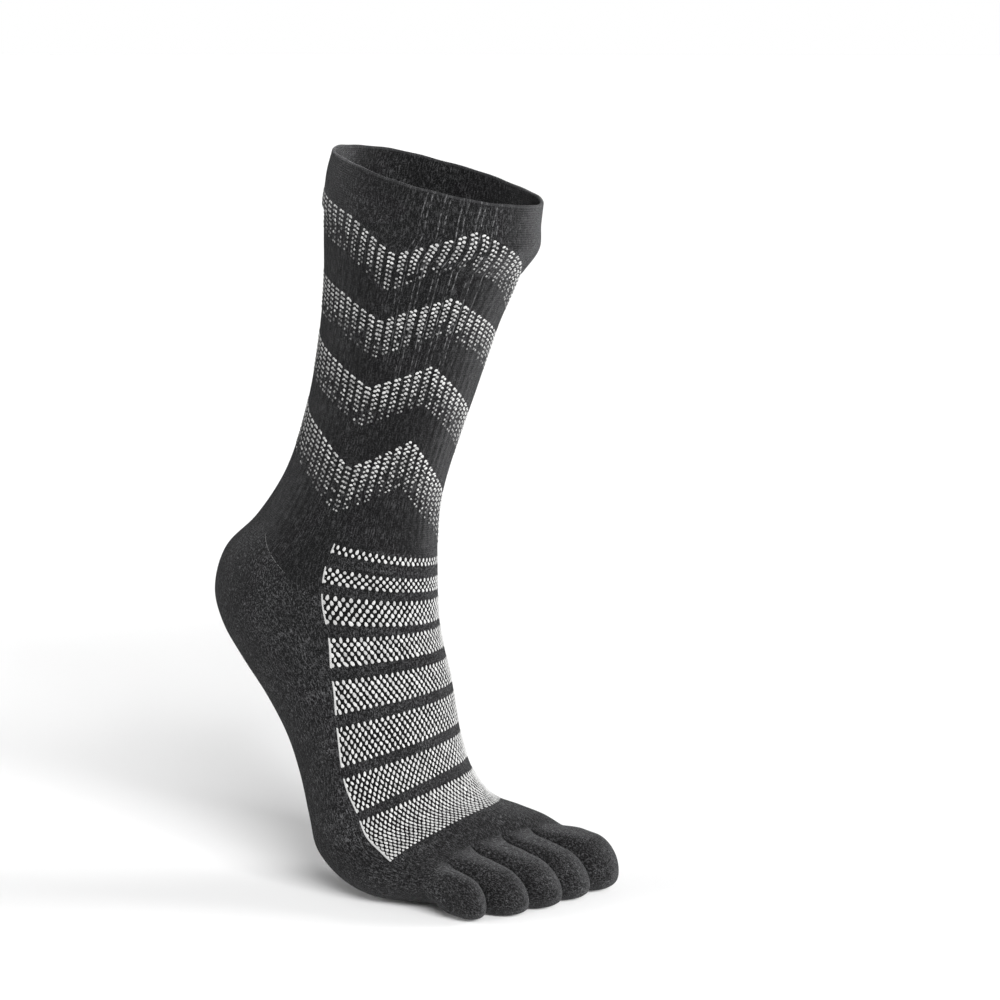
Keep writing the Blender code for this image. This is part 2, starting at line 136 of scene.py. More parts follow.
def ring_table():
    """All rings in metres: each share times its own named size."""
    tables = []
    for rings, width in ((LEG_RINGS, LEG_WIDTH), (FOOT_RINGS, FOOT_WIDTH)):
        scale = [FOOT_REACH, -SOCK_DROP, FOOT_REACH, -SOCK_DROP, width, width, 1, 1, 1]
        tables.append(np.array(rings) * scale)
    return np.concatenate(tables)


def cuff_table():
    """The welt's rings in metres, ending on the leg's ring 1."""
    scale = [FOOT_REACH, -SOCK_DROP, FOOT_REACH, -SOCK_DROP, LEG_WIDTH]
    rings = np.array(CUFF_RINGS) * scale
    plain = np.tile([0.0, 0.0, 2.0, 2.0], (len(rings), 1))
    return np.concatenate([np.hstack([rings, plain]), BODY[1:2]])


BODY = ring_table()
CUFF = cuff_table()
LAST_ROW = len(BODY) - 1
print("rings:", len(BODY), "and", len(CUFF), "for the welt")

# %% Read the rings smoothly


def read_smoothly(table, row):
    """The table at fractional rows, on a curve through every row.

    Each span is a cubic whose end slopes are half the step from the row before to the
    row after.
    """
    row = np.clip(np.asarray(row, float), 0, len(table) - 1)
    low = np.minimum(row.astype(int), len(table) - 2)
    t = (row - low)[..., None]
    before, start = table[np.maximum(low - 1, 0)], table[low]
    end, after = table[low + 1], table[np.minimum(low + 2, len(table) - 1)]
    start_slope, end_slope = (end - before) / 2, (after - start) / 2
    return (
        start * (1 - 3 * t**2 + 2 * t**3) + end * (3 * t**2 - 2 * t**3)
        + start_slope * (t - 2 * t**2 + t**3) + end_slope * (t**3 - t**2)
    )


def squared_off(value, power):
    """A sine or cosine raised to a power, with its sign kept."""
    return np.sign(value) * np.abs(value)**power


def ring_point(table, row, angle):
    """Points on the rings: middle plus half the depth times the squared-off cosine.

    The width takes the squared-off sine, the lean moves the front sideways, and the skew
    carries points forward in proportion to how far they are toward the big toe.
    """
    columns = np.moveaxis(read_smoothly(table, row), -1, 0)
    front_x, front_z, back_x, back_z, half, lean, skew, upper, under = columns
    turn = np.radians(angle)
    power = 2 / (upper + (under - upper) * (1 - np.cos(turn)) / 2)
    ahead, aside = squared_off(np.cos(turn), power), squared_off(np.sin(turn), power)
    y = -half * aside + lean * np.maximum(ahead, 0)
    x = (front_x + back_x) / 2 + (front_x - back_x) / 2 * ahead + skew * y
    z = (front_z + back_z) / 2 + (front_z - back_z) / 2 * ahead
    return np.stack([x, y, z], axis=-1)


def smooth_step(value, start, end):
    """0 before start, 1 after end, and an S curve between them."""
    t = np.clip((np.asarray(value, float) - start) / (end - start), 0, 1)
    return t * t * (3 - 2 * t)


def part_way(first, second, share):
    """The first value at share 0, the second at share 1, and a straight blend between."""
    return first + (second - first) * share


def matched(row, angle):
    """Rows and angles as two arrays of one shape."""
    return np.broadcast_arrays(np.asarray(row, float), np.asarray(angle, float))


def bare_fabric(row, angle):
    """The outer face without relief: the welt's rings above row 1 and the body's below."""
    row, angle = matched(row, angle)
    welt = ring_point(CUFF, 3 * row, angle)
    return np.where((row < 1)[..., None], welt, ring_point(BODY, row, angle))


def unit(vectors):
    """The vectors divided by their own lengths."""
    return vectors / np.maximum(np.linalg.norm(vectors, axis=-1, keepdims=True), 1e-12)


def fabric_axes(row, angle):
    """Unit vectors down the fabric, round it and out of it, from small steps on it."""
    row, angle = matched(row, angle)
    down = unit(bare_fabric(row + 0.02, angle) - bare_fabric(row - 0.02, angle))
    around = unit(bare_fabric(row, angle + 0.8) - bare_fabric(row, angle - 0.8))
    return down, around, unit(np.cross(around, down))


# %% [markdown]
# ## Wales and courses
# Knitting is a grid: wales run down the leg and courses run round it. A piece's texture
# coordinates count them, so every stitch pattern follows the fabric round the ankle and
# along the foot as it does on a real sock. The number of wales stays the same all the way
# down, and the stitches just get wider or narrower.

# %% Count wales and courses
WALES = 336             # six to each of the 56 ribs
RIB_WALES = 6
COURSE = 0.00105        # height of one course

ring_angles = np.linspace(0, 360, 361)
round_steps = np.linalg.norm(np.diff(bare_fabric(2.0, ring_angles), axis=0), axis=-1)
wale_marks = np.concatenate([[0], np.cumsum(round_steps)]) / round_steps.sum() * WALES

row_marks = np.linspace(0, LAST_ROW, 381)
drop_lines = bare_fabric(row_marks[:, None], np.arange(0, 361, 2.0)[None])
drop_steps = np.linalg.norm(np.diff(drop_lines, axis=0), axis=-1)
course_marks = np.concatenate([0 * drop_steps[:1], np.cumsum(drop_steps, axis=0)]) / COURSE


def wale_at(angle):
    """The wale number at an angle, going on past a full turn."""
    turns = np.floor(np.asarray(angle, float) / 360)
    return WALES * turns + np.interp(angle - 360 * turns, ring_angles, wale_marks)


def angle_at(wale):
    """The angle of a wale, the other way round."""
    turns = np.floor(np.asarray(wale, float) / WALES)
    return 360 * turns + np.interp(wale - WALES * turns, wale_marks, ring_angles)


def course_at(row, angle):
    """The course number: length from the opening along the fabric over one course."""
    row, angle = matched(row, angle)
    r = np.clip(row / LAST_ROW * (len(row_marks) - 1), 0, len(row_marks) - 1.001)
    a = (angle % 360) / 2
    r0, a0 = r.astype(int), np.minimum(a.astype(int), course_marks.shape[1] - 2)
    rt, at = r - r0, a - a0
    upper = course_marks[r0, a0] * (1 - at) + course_marks[r0, a0 + 1] * at
    lower = course_marks[r0 + 1, a0] * (1 - at) + course_marks[r0 + 1, a0 + 1] * at
    return upper * (1 - rt) + lower * rt


print("wale width, mm:", round(1000 * round_steps.sum() / WALES, 2),
      " courses down the front:", round(float(course_marks[-1, 0])))

# %% [markdown]
# ## Relief of the fabric
# A knitted tube on a foot isn't a smooth shell. The leg's ribs stand up a little, the welt
# steps in where it ends at the back and on the inner side, and shallow valleys run up the
# forefoot from the gaps between the toes. Each is a small lift along the surface's normal.

# %% Lift the fabric
# name, from, to: shares of the mouth's half width; tip_from, tip_to: shares of half
# FOOT_WIDTH; reach: share of FOOT_REACH; tall: share of FOOT_WIDTH
TOES = (
    ("little_toe", -1.000, -0.735, -1.200, -0.800, 0.236, 0.098),
    ("fourth_toe", -0.735, -0.360, -0.800, -0.395, 0.300, 0.102),
    ("third_toe", -0.360, 0.080, -0.395, 0.070, 0.335, 0.106),
    ("second_toe", 0.080, 0.490, 0.070, 0.505, 0.357, 0.110),
    ("big_toe", 0.490, 1.000, 0.505, 1.020, 0.379, 0.138),
)
TOE_BORDERS = [toe[2] for toe in TOES[:-1]]
RIB_LIFT = 0.00015
SOFT_LIFT = 0.00016
VALLEY_DEPTH = 0.0009
KNUCKLE_LIFT = 0.0026


def signed(angle):
    """The angle from -180 to 180, with the front at 0."""
    return (np.asarray(angle) + 180) % 360 - 180


def hem_row(angle):
    """The row where the welt ends: a little higher round the back than in front."""
    turn = np.asarray(angle) % 360
    return 1.0 - 0.17 * smooth_step(turn, 95, 140) * (1 - smooth_step(turn, 205, 270))


def rib_lift(row, angle):
    """A cosine across each rib, highest at its middle, fading out above the ankle."""
    fade = smooth_step(row, 0.75, 1.2) * (1 - smooth_step(row, 5.2, 6.6))
    return RIB_LIFT * fade * np.cos(2 * np.pi * (wale_at(angle) / RIB_WALES - 0.5))


def welt_lift(row, angle):
    """The welt's stand-off: full at the back and inner side, none where the front is smooth.

    It ends just above the hem, so the last course turns in to the leg.
    """
    turn = np.asarray(angle) % 360
    place = smooth_step(turn, 100, 135) * (1 - smooth_step(turn, 338, 352))
    above_hem = np.asarray(row) < hem_row(angle) - 0.004
    return CUFF_PROUD * place * smooth_step(row, 0.5, 0.8) * above_hem


def valley_lift(row, angle):
    """Dips at the toe borders: a bell curve across each border, deepening toward the mouth."""
    across = bare_fabric(row, angle)[..., 1] / BODY[-1, 4]
    ahead = np.cos(np.radians(signed(angle)))
    deep = np.where(ahead > 0, smooth_step(row, 17.8, 19.3)**1.8, smooth_step(row, 17.2, 19.2))
    dip = sum(np.exp(-((across - border) / 0.052)**2) for border in TOE_BORDERS)
    return -VALLEY_DEPTH * deep * dip * smooth_step(np.abs(ahead), 0.02, 0.35)


def knuckle_lift(row, angle):
    """A bell round the foot that raises the ball of the big toe toward the mouth."""
    return KNUCKLE_LIFT * np.exp(-((signed(angle) + 46) / 25)**2) * smooth_step(row, 14.6, 17.6)


def soft_lift(row, angle):
    """Slight unevenness of worn fabric: three slow waves that don't repeat together."""
    turn = np.radians(angle)
    return SOFT_LIFT * (
        np.sin(2 * turn + 0.9 * row) + np.sin(3 * turn - 1.7 * row + 1) * 0.7
        + np.sin(5 * turn + 2.3 * row + 2) * 0.5
    )


def fabric(row, angle, lift=0.0):
    """The finished outer face: bare point plus the outward normal times all the lifts."""
    row, angle = matched(row, angle)
    out = fabric_axes(row, angle)[2]
    height = (
        rib_lift(row, angle) + welt_lift(row, angle)
        + valley_lift(row, angle) + knuckle_lift(row, angle)
        + soft_lift(row, angle) * smooth_step(row, 0, 0.6) * (1 - smooth_step(row, 18, 19))
    )
    return bare_fabric(row, angle) + out * (height + lift)[..., None]


# %% [markdown]
# ## From grids to meshes
# Every piece of the sock is one or two grids of points, with a wale and a course number
# for each point. The faces of a grid are the same four-corner pattern repeated, so they
# come from index arithmetic, and points that two grids share are merged. A Solidify
# modifier then gives the fabric its real thickness on the inside.

# %% Build fabric pieces


def grid_faces(rows, columns, first=0):
    """Four-corner faces between neighbouring rows and columns, facing out of the tube."""
    index = np.arange(rows * columns).reshape(rows, columns) + first
    left, right = index[:, :-1], index[:, 1:]
    return np.stack([left[:-1], right[:-1], right[1:], left[1:]], axis=-1).reshape(-1, 4)


def new_mesh(name, points, faces, wales=None, courses=None):
    """A mesh from point and face arrays, with a UV map that counts wales and courses."""
    mesh = bpy.data.meshes.new(name)
    mesh.from_pydata(points.tolist(), [], faces.tolist())
    if wales is not None:
        corners = np.empty(len(mesh.loops), np.int32)
        mesh.loops.foreach_get("vertex_index", corners)
        pairs = np.stack([wales[corners], courses[corners]], axis=-1)
        mesh.uv_layers.new(name="knit").data.foreach_set("uv", pairs.astype(np.float32).ravel())
    return mesh


def merge_points(mesh):
    """Joins points that lie on each other and drops faces that closed to nothing."""
    edit = bmesh.new()
    edit.from_mesh(mesh)
    bmesh.ops.remove_doubles(edit, verts=edit.verts, dist=0.00001)
    bmesh.ops.dissolve_degenerate(edit, edges=edit.edges, dist=0.000001)
    edit.to_mesh(mesh)
    edit.free()


def evaluated(piece):
    """The piece with its modifiers worked out."""
    return piece.evaluated_get(bpy.context.evaluated_depsgraph_get())


def mark_points(mesh, name, values):
    """Stores one number for each point, under a name that a material can read."""
    marks = mesh.attributes.new(name, "FLOAT", "POINT")
    marks.data.foreach_set("value", np.ravel(values).astype(np.float32))


def smooth_object(name, mesh, material):
    """An object with one material, whose mesh is shaded smooth."""
    mesh.shade_smooth()
    mesh.materials.append(material)
    return new_object(name, mesh)


def thicken(piece, wall):
    """Gives the fabric its wall on the inside, and keeps the cut edges sharp.

    Sharp edges stop the smooth shading from rolling over a seam, so two pieces that meet
    look like one fabric.
    """
    knit = piece.modifiers.new("knit thickness", "SOLIDIFY")
    knit.thickness = wall
    knit.offset = -1
    thick = bpy.data.meshes.new_from_object(evaluated(piece))
    piece.modifiers.clear()
    piece.data = thick
    thick.set_sharp_from_angle(angle=np.radians(55))


def fabric_piece(name, grids, material, node, wall=0.0, mask=None):
    """One piece from (points, wales, courses) grids, merged, thickened and tied to its node."""
    faces, first = [], 0
    for points, _, _ in grids:
        faces.append(grid_faces(points.shape[0], points.shape[1], first))
        first += points.shape[0] * points.shape[1]
    points = np.concatenate([grid[0].reshape(-1, 3) for grid in grids])
    wales = np.concatenate([np.ravel(grid[1]) for grid in grids])
    courses = np.concatenate([np.ravel(grid[2]) for grid in grids])
    mesh = new_mesh(name, points, np.concatenate(faces), wales, courses)
    if mask is not None:
        mark_points(mesh, "band", mask)
    merge_points(mesh)
    piece = smooth_object(name, mesh, material)
    if wall:
        thicken(piece, wall)
    finish_piece(piece, node)
    return piece


def finish_piece(piece, node):
    """The piece moves with the sock, takes the place of its CAD node, which is hidden, and its
    triangles are printed.
    """
    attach(piece, "root")
    if node:
        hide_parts(node)
    made = evaluated(piece).to_mesh()
    made.calc_loop_triangles()
    print(f"{piece.name}: {len(made.loop_triangles)} triangles")


# %% [markdown]
# ## Heather yarn
# Heather yarn is spun from dark and light fibres together, so the fabric is never one
# grey: it is nearly black with light flecks that lie along the stitches, finer fibres, a
# few bright specks, and slow cloudy patches. Each is a noise of its own scale, and the
# flecks' noise is drawn out along the wales. This is built once as a node group and used
# by every dark piece with its own values.

# %% Node group: heather yarn


def new_group(name, inputs, outputs):
    """A shader node group with named sockets; inputs are (name, kind, value)."""
    group = bpy.data.node_groups.new(name, "ShaderNodeTree")
    for label, kind, value in inputs:
        made = group.interface.new_socket(label, in_out="INPUT", socket_type=kind)
        if value is not None:
            made.default_value = value
    for label, kind in outputs:
        group.interface.new_socket(label, in_out="OUTPUT", socket_type=kind)
    return group, group.nodes.new("NodeGroupInput"), group.nodes.new("NodeGroupOutput")


def feed(tree, socket, value):
    """Links a socket to an input, or sets a plain value on it."""
    if isinstance(value, bpy.types.NodeSocket):
        tree.links.new(value, socket)
    else:
        socket.default_value = value


def set_inputs(node, **values):
    """Sets a node's plain inputs by name, with _ for each space."""
    for label, value in values.items():
        node.inputs[label.replace("_", " ")].default_value = value


def maths(tree, operation, *values):
    """A Math node whose inputs are numbers or sockets; returns its output."""
    node = tree.nodes.new("ShaderNodeMath")
    node.operation = operation
    for socket, value in zip(node.inputs, values):
        feed(tree, socket, value)
    return node.outputs[0]


def plus(tree, first, second):
    return maths(tree, "ADD", first, second)


def minus(tree, first, second):
    return maths(tree, "SUBTRACT", first, second)


def times(tree, first, second):
    return maths(tree, "MULTIPLY", first, second)


def size_of(tree, value):
    """The value without its sign."""
    return maths(tree, "ABSOLUTE", value)


def scaled(tree, vector, x, y, z=1.0):
    """The vector times (x, y, z)."""
    node = tree.nodes.new("ShaderNodeVectorMath")
    node.operation = "MULTIPLY"
    tree.links.new(vector, node.inputs[0])
    node.inputs[1].default_value = (x, y, z)
    return node.outputs[0]


def noise(tree, vector, scale, detail=2.0, roughness=0.5, distortion=0.0):
    """A noise value from 0 to 1 at a vector."""
    node = tree.nodes.new("ShaderNodeTexNoise")
    tree.links.new(vector, node.inputs["Vector"])
    set_inputs(node, Scale=scale, Detail=detail, Roughness=roughness, Distortion=distortion)
    return node.outputs[0]


def between(tree, value, low, high):
    """The value mapped from low..high to 0..1 on an S curve."""
    node = tree.nodes.new("ShaderNodeMapRange")
    node.interpolation_type = "SMOOTHSTEP"
    tree.links.new(value, node.inputs["Value"])
    set_inputs(node, From_Min=low, From_Max=high)
    return node.outputs["Result"]


def mixed(tree, share, first, second):
    """A colour between two colours; each is a socket or a plain colour."""
    node = tree.nodes.new("ShaderNodeMix")
    node.data_type = "RGBA"
    for index, value in ((0, share), (6, first), (7, second)):
        feed(tree, node.inputs[index], value)
    return node.outputs[2]


def make_heather_group():
    """Dark yarn with light flecks.

    Long flecks along the wales plus fine fibres, times slow clouds, plus a few specks.
    """
    tree, given, result = new_group(
        "heather_yarn",
        [
            ("Stitches", "NodeSocketVector", None),
            ("Place", "NodeSocketVector", None),
            ("Dark", "NodeSocketColor", (0.02, 0.02, 0.021, 1)),
            ("Light", "NodeSocketColor", (0.2, 0.2, 0.205, 1)),
            ("Flecks", "NodeSocketFloat", 1.0),
        ],
        [("Color", "NodeSocketColor")],
    )
    stitches, place = given.outputs["Stitches"], given.outputs["Place"]
    drawn_out = noise(tree, scaled(tree, stitches, 1.30, 0.50), 1.0, 2, 0.6)
    long_flecks = times(tree, between(tree, drawn_out, 0.49, 0.69), 0.58)
    fine_fibres = between(tree, noise(tree, place, 1500, 2, 0.6, 0.5), 0.48, 0.71)
    specks = between(tree, noise(tree, place, 820, 1, 0.5, 0.8), 0.66, 0.76)
    clouds = between(tree, noise(tree, place, 60, 2, 0.5), 0.3, 0.7)
    fleck = plus(tree, long_flecks, times(tree, fine_fibres, 0.60))
    fleck = times(tree, fleck, plus(tree, times(tree, clouds, 0.45), 0.65))
    fleck = plus(tree, fleck, times(tree, specks, 0.5))
    fleck = maths(tree, "MINIMUM", times(tree, fleck, given.outputs["Flecks"]), 1.0)
    colour = mixed(tree, fleck, given.outputs["Dark"], given.outputs["Light"])
    tree.links.new(colour, result.inputs["Color"])
    return tree


heather_yarn = make_heather_group()
print("node group:", heather_yarn.name)

# %% [markdown]
# ## Plain knit relief
# Close up, plain knit is columns of small V shapes. Each wale is mirrored about its
# middle, the course number is sheared by the distance from that middle, and a sine along
# the sheared course gives the legs of the V. The group puts out a height, and each
# material feeds it to its own Bump node.

# %% Node group: plain knit


def wale_and_course(tree, stitches):
    """The two numbers of the stitch coordinates."""
    split = tree.nodes.new("ShaderNodeSeparateXYZ")
    tree.links.new(stitches, split.inputs[0])
    return split.outputs["X"], split.outputs["Y"]


def make_knit_group():
    """Height of plain knit: |sine| of the sheared course times a sine across the wale."""
    tree, given, result = new_group(
        "plain_knit",
        [
            ("Stitches", "NodeSocketVector", None),
            ("Place", "NodeSocketVector", None),
            ("Fuzz", "NodeSocketFloat", 0.4),
        ],
        [("Height", "NodeSocketFloat")],
    )
    wale, course = wale_and_course(tree, given.outputs["Stitches"])
    side = size_of(tree, minus(tree, maths(tree, "FRACT", wale), 0.5))
    sheared = plus(tree, course, times(tree, side, 1.3))
    leg = size_of(tree, maths(tree, "SINE", times(tree, sheared, np.pi)))
    bulge = maths(tree, "SINE", times(tree, side, 2 * np.pi))
    bulge = plus(tree, times(tree, bulge, 0.65), 0.35)
    fibre = noise(tree, given.outputs["Place"], 2600, 2, 0.6)
    fuzz = times(tree, fibre, given.outputs["Fuzz"])
    tree.links.new(plus(tree, times(tree, leg, bulge), fuzz), result.inputs["Height"])
    return tree


plain_knit = make_knit_group()
print("node group:", plain_knit.name)

# %% [markdown]
# ## The dark fabrics
# All the dark pieces are the same yarn and knit, with small differences. The welt is
# denser, the ribbed leg shows faint light lines where the white yarn is carried behind
# the ribs, and the toes have more flecks. Sheen gives the pale fuzz that the edges of the
# sock have against the light; it is the same all over, so it is set on the shader itself.

# %% Materials of the dark pieces


DARK_YARN = (0.0032, 0.0032, 0.0034, 1)
TOE_YARN = (0.0036, 0.0036, 0.0038, 1)
LIGHT_YARN = (0.128, 0.128, 0.132, 1)
CARRIED_YARN = (0.26, 0.26, 0.265, 1)
FUZZ_TINT = (0.75, 0.75, 0.77, 1)
# share and colour of the painted light that a piece's own band number brings in: a painted
# highlight along the welt's rim, and painted shade in the open holes of the mesh
RIM_PAINTED_HIGHLIGHT = (0.10, (0.120, 0.120, 0.124, 1))
HOLE_PAINTED_SHADE = (0.9, (0.002, 0.002, 0.002, 1))
KNIT_BUMP, KNIT_DEPTH = 0.6, 0.0003
PAIR_WALES = 9.0        # from one pair of carried lines to the next
LINE_OFF = 1.35         # from the middle of a pair to each of its lines, in wales
HEM_COURSE = float(course_at(1.0, 50.0))


def new_material(name):
    """A material with its node tree and its shader."""
    material = bpy.data.materials.new(name)
    material.use_nodes = True
    return material, material.node_tree, material.node_tree.nodes["Principled BSDF"]


def placed_group(tree, group, **values):
    """A node group in a material, with its plain inputs set by name."""
    node = tree.nodes.new("ShaderNodeGroup")
    node.node_tree = group
    set_inputs(node, **values)
    return node


def point_mark(tree, name):
    """The number stored on the points under a name."""
    node = tree.nodes.new("ShaderNodeAttribute")
    node.attribute_name = name
    return node.outputs["Fac"]


def raise_relief(tree, shader, height, strength, distance):
    """Feeds a height through a Bump node to the shader."""
    relief = tree.nodes.new("ShaderNodeBump")
    set_inputs(relief, Strength=strength, Distance=distance)
    tree.links.new(height, relief.inputs["Height"])
    tree.links.new(relief.outputs["Normal"], shader.inputs["Normal"])


def fabric_inputs(tree):
    """The two coordinates that fabrics read: stitches from the UV map, place from Object."""
    stitches = tree.nodes.new("ShaderNodeUVMap")
    stitches.uv_map = "knit"
    place = tree.nodes.new("ShaderNodeTexCoord")
    return stitches.outputs["UV"], place.outputs["Object"]


def rib_lines(tree, stitches, slant):
    """A mask of thin dotted lines in pairs, where the yarn behind is carried up the leg.

    The wale number over PAIR_WALES gives the place in a pair. The lines are LINE_OFF to
    each side of the middle, and a noise along them breaks them into dots. They move over
    by slant wales for each course above the hem.
    """
    wale, course = wale_and_course(tree, stitches)
    wale = plus(tree, wale, times(tree, minus(tree, HEM_COURSE, course), slant))
    pairs = maths(tree, "DIVIDE", wale, PAIR_WALES)
    place = times(tree, maths(tree, "FRACT", pairs), PAIR_WALES)
    middle_off = size_of(tree, minus(tree, place, PAIR_WALES / 2))
    line_off = size_of(tree, minus(tree, middle_off, LINE_OFF))
    line = minus(tree, 1.0, between(tree, line_off, 0.10, 0.45))
    broken = noise(tree, scaled(tree, stitches, 0.6, 0.38), 1.0, 3, 0.7)
    return times(tree, line, between(tree, broken, 0.42, 0.66))


def seen_ribs(tree, stitches):
    """1 over the front wales of the upper leg, where the carried yarn shows through."""
    wale, course = wale_and_course(tree, stitches)
    front, side = float(wale_at(16.0)), float(wale_at(82.0))
    behind_front = between(tree, wale, front, front + 16)
    before_side = minus(tree, 1.0, between(tree, wale, side - 22, side + 4))
    above_ankle = minus(tree, 1.0, between(tree, course, 62.0, 96.0))
    return times(tree, times(tree, behind_front, before_side), above_ankle)


def dark_fabric(name, flecks, sheen, stretch=1.0, dark=DARK_YARN, carried=None, painted_light=None):
    """A heather fabric; a stretch above 1 draws its flecks out along the wales.

    Carried is the slant of the faint lines of the yarn behind the ribs. The last argument is
    the painted light that the piece's own band number brings in: a painted highlight along
    the welt's rim, or painted shade in the open holes of the mesh.
    """
    material, tree, shader = new_material(name)
    stitches, place = fabric_inputs(tree)
    yarn = placed_group(tree, heather_yarn, Dark=dark, Light=LIGHT_YARN, Flecks=flecks)
    knit = placed_group(tree, plain_knit, Fuzz=0.5)
    tree.links.new(scaled(tree, stitches, 1.0, 1 / stretch), yarn.inputs["Stitches"])
    tree.links.new(stitches, knit.inputs["Stitches"])
    for group in (yarn, knit):
        tree.links.new(place, group.inputs["Place"])
    colour = yarn.outputs["Color"]
    if carried is not None:
        mask = times(tree, rib_lines(tree, stitches, carried), seen_ribs(tree, stitches))
        colour = mixed(tree, times(tree, mask, 0.5), colour, CARRIED_YARN)
    if painted_light:
        share = times(tree, point_mark(tree, "band"), painted_light[0])
        colour = mixed(tree, share, colour, painted_light[1])
    tree.links.new(colour, shader.inputs["Base Color"])
    raise_relief(tree, shader, knit.outputs["Height"], KNIT_BUMP, KNIT_DEPTH)
    set_inputs(
        shader, Roughness=0.92, Specular_IOR_Level=0.09,
        Sheen_Weight=sheen, Sheen_Roughness=0.32, Sheen_Tint=FUZZ_TINT,
    )
    return material


welt_knit = dark_fabric("welt_knit", 0.36, 0.17, 1.6, carried=0.16, painted_light=RIM_PAINTED_HIGHLIGHT)
leg_knit = dark_fabric("leg_knit", 0.29, 0.11, 2.2, carried=0.0)
heel_knit = dark_fabric("heel_knit", 0.54, 0.08, 0.8)
foot_knit = dark_fabric("foot_knit", 0.58, 0.07, 1.4)
toe_knit = dark_fabric("toe_knit", 0.66, 0.10, 0.9, dark=TOE_YARN)
for made in (welt_knit, leg_knit, heel_knit, foot_knit, toe_knit):
    print("dark fabric:", made.name)

# %% [markdown]
# ## The welt
# The welt is a strip of knitting folded over and pressed flat, so its rim is round but
# hardly thicker than the leg. Carrying a long thin closed profile round the opening makes
# it: up the outer face, over a half circle at the rim, down the inner face and back under.

# %% Make the welt
WELT_STEPS = 44
RIM_STAND = 0.0022      # how much higher the rim stands at the back


def welt_profile(wall):
    """The closed profile as (row, depth under the outer face, rise above the row).

    The outer face goes from the hem up to the rim at depth 0, the rim is a half circle of
    half the wall, and the inner face goes back down at the depth of the wall.
    """
    half = wall / 2
    bend = np.linspace(0, np.pi, 9)[1:-1]
    up = np.linspace(1.0, 0.0, WELT_STEPS)
    row = np.concatenate([up, 0 * bend, up[::-1], 1.0 + 0 * bend])
    depth = np.concatenate([
        0 * up, half - half * np.cos(bend), wall + 0 * up, half + half * np.cos(bend),
    ])
    rise = np.concatenate([0 * up, half * np.sin(bend), 0 * up, 0 * bend])
    return row, depth, rise


def make_welt():
    """The profile at every angle: point minus normal times depth, plus up times rise."""
    row, depth, rise = welt_profile(WELT_EDGE)
    row, depth, rise = (np.append(values, values[0])[:, None] for values in (row, depth, rise))
    angle = np.linspace(0, 360, 337)[None]
    row = row * hem_row(angle)
    down, _, out = fabric_axes(np.maximum(row, 0.03), angle)
    turn = angle % 360
    stand = RIM_STAND * smooth_step(turn, 55, 140) * (1 - smooth_step(turn, 200, 300))
    rise = rise + stand * (1 - smooth_step(row, 0, 0.6))
    circle = np.radians(angle)
    uneven = 0.00015 * np.sin(7 * circle) + 0.0001 * np.sin(17 * circle + 1)
    up = (rise + uneven * (row < 0.2))[..., None]
    points = fabric(row, angle) - out * depth[..., None] - down * up
    wales = wale_at(angle) + 0 * row
    courses = course_at(row, angle) - rise / COURSE + depth / COURSE * (rise > 0)
    courses = np.where(depth >= WELT_EDGE, -courses - 2, courses)
    # painted highlight: the rim's band number lightens the fabric along the rim
    rim = np.exp(-(row / 0.012)**2) + 0 * angle
    grid = (points[::-1], wales[::-1], courses[::-1])
    return fabric_piece("welt", [grid], welt_knit, "cuff", mask=rim[::-1])


welt = make_welt()

# %% [markdown]
# ## Seam lines of the pieces
# The heel pocket sits between two curved gore lines, and the mesh panel has side edges
# that spread over the instep. They are short tables of rows and angles on the same
# surface, so neighbouring pieces meet point for point.

# %% Seam lines
# lateral row, lateral angle, medial row, medial angle, from the top to the bottom
PANEL_EDGES = np.array((
    (6.16, 73, 6.72, -66), (7.73, 73, 8.00, -66), (9.16, 72, 8.95, -67),
    (10.52, 78, 10.10, -70), (11.84, 84, 11.20, -73), (13.21, 84, 12.60, -73),
    (14.50, 78, 13.80, -71), (16.56, 80, 14.95, -70),
), float)
HEEL_POINT_ROW, HEEL_POINT_SPAN = 8.04, 0.30
HEEL_TOP_ROW, HEEL_BOTTOM_ROW = 5.30, 10.90
ACROSS_FRONT, ACROSS_BACK = 96, 192


def panel_edges(course):
    """Rows and angles of the panel's two sides, at courses 0 (top) to 1 (bottom)."""
    edges = read_smoothly(PANEL_EDGES, np.asarray(course) * (len(PANEL_EDGES) - 1))
    return np.moveaxis(edges, -1, 0)


edge_samples = read_smoothly(PANEL_EDGES, np.linspace(0, 1, 400) * (len(PANEL_EDGES) - 1))


def side_angle(row, column):
    """The angle of the panel's side (column 1 little toe's, 3 big toe's) at a row."""
    return np.interp(row, edge_samples[:, column - 1], edge_samples[:, column])


def heel_share(angle):
    """0 at the panel's sides and 1 at the middle of the back, on a sine."""
    lateral, medial = side_angle(HEEL_POINT_ROW, 1), 360 + side_angle(HEEL_POINT_ROW, 3)
    share = 1 - np.abs(np.asarray(angle) - (lateral + medial) / 2) / (medial - lateral) * 2
    return np.sin(np.clip(share, 0, 1) * np.pi / 2)**1.15


def heel_gore(angle, end_row, sign):
    """A gore line: from beside the heel point to the end row at the back."""
    start = HEEL_POINT_ROW + sign * HEEL_POINT_SPAN / 2
    return start + (end_row - HEEL_POINT_ROW) * heel_share(angle)


def upper_gore(angle):
    """The gore line where the heel pocket meets the leg."""
    return heel_gore(angle, HEEL_TOP_ROW, -1)


def lower_gore(angle):
    """The gore line where the heel pocket meets the sole."""
    return heel_gore(angle, HEEL_BOTTOM_ROW, 1)


